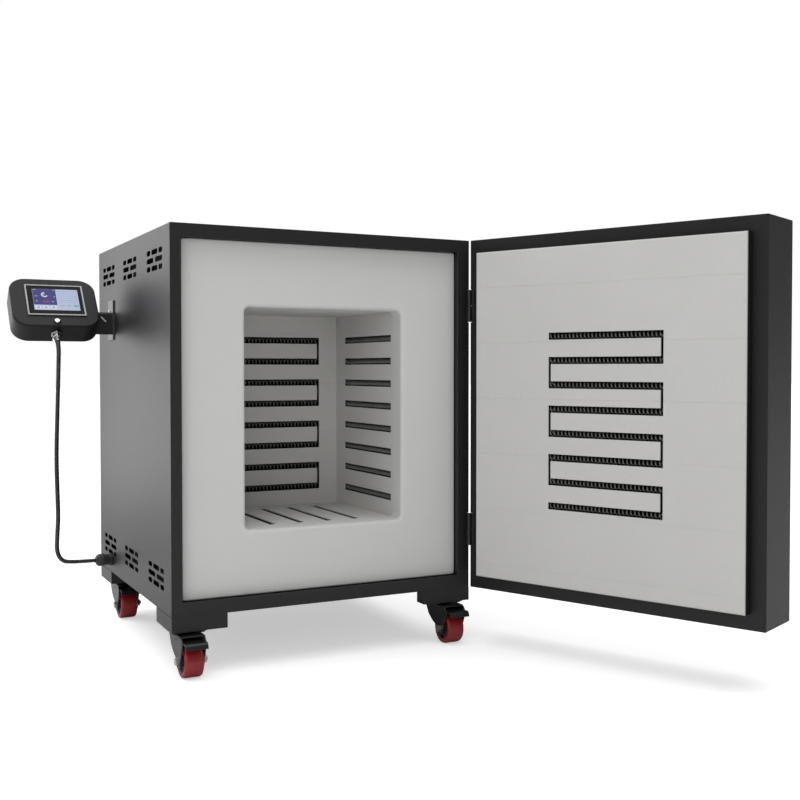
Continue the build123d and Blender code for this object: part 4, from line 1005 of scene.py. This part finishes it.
# %% Pan-head screws
def screw_head():
    """A pan head on the YZ plane that points along X, with its cross cut in."""
    head = turned("screw_head", [
        (0, 0), (0, 4.0), (0.9, 4.2), (1.7, 3.7), (2.3, 2.4), (2.4, 0),
    ], zinc, steps=20)
    blades = []
    for size in ((2.4, 0.8, 4.2), (2.4, 4.2, 0.8)):
        pick_none()
        bpy.ops.mesh.primitive_cube_add(size=1, location=(2.6 * MM, 0, 0),
                                        scale=tuple(value * MM for value in size))
        blades.append(named("blade"))
    for blade in blades:
        use_modifier(head, "BOOLEAN", object=blade, operation="DIFFERENCE", solver="EXACT")
        bpy.data.objects.remove(blade)
    return head


head = screw_head()
SCREW_SETS = {
    "bracket_screws": ((-1, 0, 0), [(-4, 499, 550), (-4, 499, 589)]),
    "rear_cover_screws": ((0, 1, 0), [(x, 630, z) for x in (7, 628) for z in (7, 180, 365, 550, 723)]
                          + [(317.5, 630, 7), (317.5, 630, 723)]),
}
for node, (direction, places) in SCREW_SETS.items():
    heads = [copy_of(head, f"{node}_{number}", turn_to(direction, place))
             for number, place in enumerate(places)]
    row = joined(f"{node}_heads", heads)
    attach(row, "cabinet")
    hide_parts(node)
    print(node, len(places), "heads")
bpy.data.objects.remove(head)

# %% [markdown]
# The conduit enters the cabinet through a black nylon gland: a hexagon flange on the sheet, a ringed
# body and a dome nut with flat grips. The dome nut has twelve flats, so it is turned in twelve
# steps. The gland in the rear cover that takes the supply cable is the same kind, left as drawn.

# %% Wall gland
wall_gland = joined("wall_gland", [
    turned("flange", [(0, 0), (0, 13.6), (0.8, 14.4), (5.6, 14.4), (6.4, 13.6), (6.4, 0)],
           gland_black, 6),
    turned("body", [(6.2, 0), (6.2, 11.6)] + [
        (7.0 + 3.2 * ring_number + along, radius) for ring_number in range(3)
        for along, radius in ((0, 11.6), (0.3, 12.6), (2.3, 12.6), (2.6, 11.6))
    ] + [(17.4, 11.6), (17.4, 0)], gland_black, 32),
    turned("grip_nut", [(17.2, 0), (17.2, 12.8), (18.4, 14.0), (30, 14.0), (33, 12.6), (35.6, 10.2),
                        (37.4, 6.4), (37.4, 0)], gland_black, 12),
])
settle(wall_gland, turn_to((-1, 0, 0), (0, 507, 31)), smooth=25)
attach(wall_gland, "cabinet")
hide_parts("lower_gland")

# %% [markdown]
# Each caster turns on a double ball raceway between its plate and its fork. It shows as two thin
# pressed rings with a groove between them, so one grooved ring is turned and copied to the casters.

# %% Caster raceways
raceway = turned("raceway", [
    (0, 14), (0, 22.8), (0.8, 23.8), (2.0, 23.8), (2.6, 22.4), (3.2, 23.8), (4.2, 23.8), (4.9, 22.8),
    (4.9, 14), (0, 14),
], caster_black, steps=40)
for caster, (stem_x, stem_y) in STEMS.items():
    top = (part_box(f"{caster}_fork")[1] - CORNER).z / MM
    ring = copy_of(raceway, f"{caster}_raceway", turn_to((0, 0, 1), (stem_x, stem_y, top - 5.4)))
    pick(ring)
    bpy.ops.object.shade_smooth_by_angle(angle=radians(30))
    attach(ring, f"{caster}_swivel")
bpy.data.objects.remove(raceway)

# %% [markdown]
# The fork's crown is a pressed steel cap, raised round the raceway. It fills most of the slit under
# the caster plate and stays just below the bolt heads, which it passes under as the caster turns. A
# Boolean cylinder opens it for the kingpin, which is fixed to the plate and doesn't turn.

# %% Pressed crown caps
pick_none()
bpy.ops.mesh.primitive_cube_add(size=1, location=(0, 0, 0))
cap_master = named("crown_cap", caster_black)
bpy.ops.object.mode_set(mode="EDIT")
bpy.ops.transform.resize(value=(46.6 * MM, 82 * MM, 2.7 * MM))
bpy.ops.mesh.select_all(action="SELECT")
bpy.ops.mesh.bevel(offset=0.9 * MM, segments=3, affect="EDGES")
bpy.ops.object.mode_set(mode="OBJECT")
pick_none()
bpy.ops.mesh.primitive_cylinder_add(vertices=40, radius=16 * MM, depth=8 * MM,
                                    location=(0, 16 * MM, 0))
kingpin_hole = named("kingpin_hole")
use_modifier(cap_master, "BOOLEAN", object=kingpin_hole, operation="DIFFERENCE", solver="EXACT")
bpy.data.objects.remove(kingpin_hole)
for caster, (stem_x, stem_y) in STEMS.items():
    lid = copy_of(cap_master, f"{caster}_crown_cap",
                  Matrix.Translation(at(stem_x, stem_y - 16, -35.1)))
    pick(lid)
    bpy.ops.object.shade_smooth_by_angle(angle=radians(30))
    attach(lid, f"{caster}_swivel")
bpy.data.objects.remove(cap_master)
print("crown caps", len(STEMS))
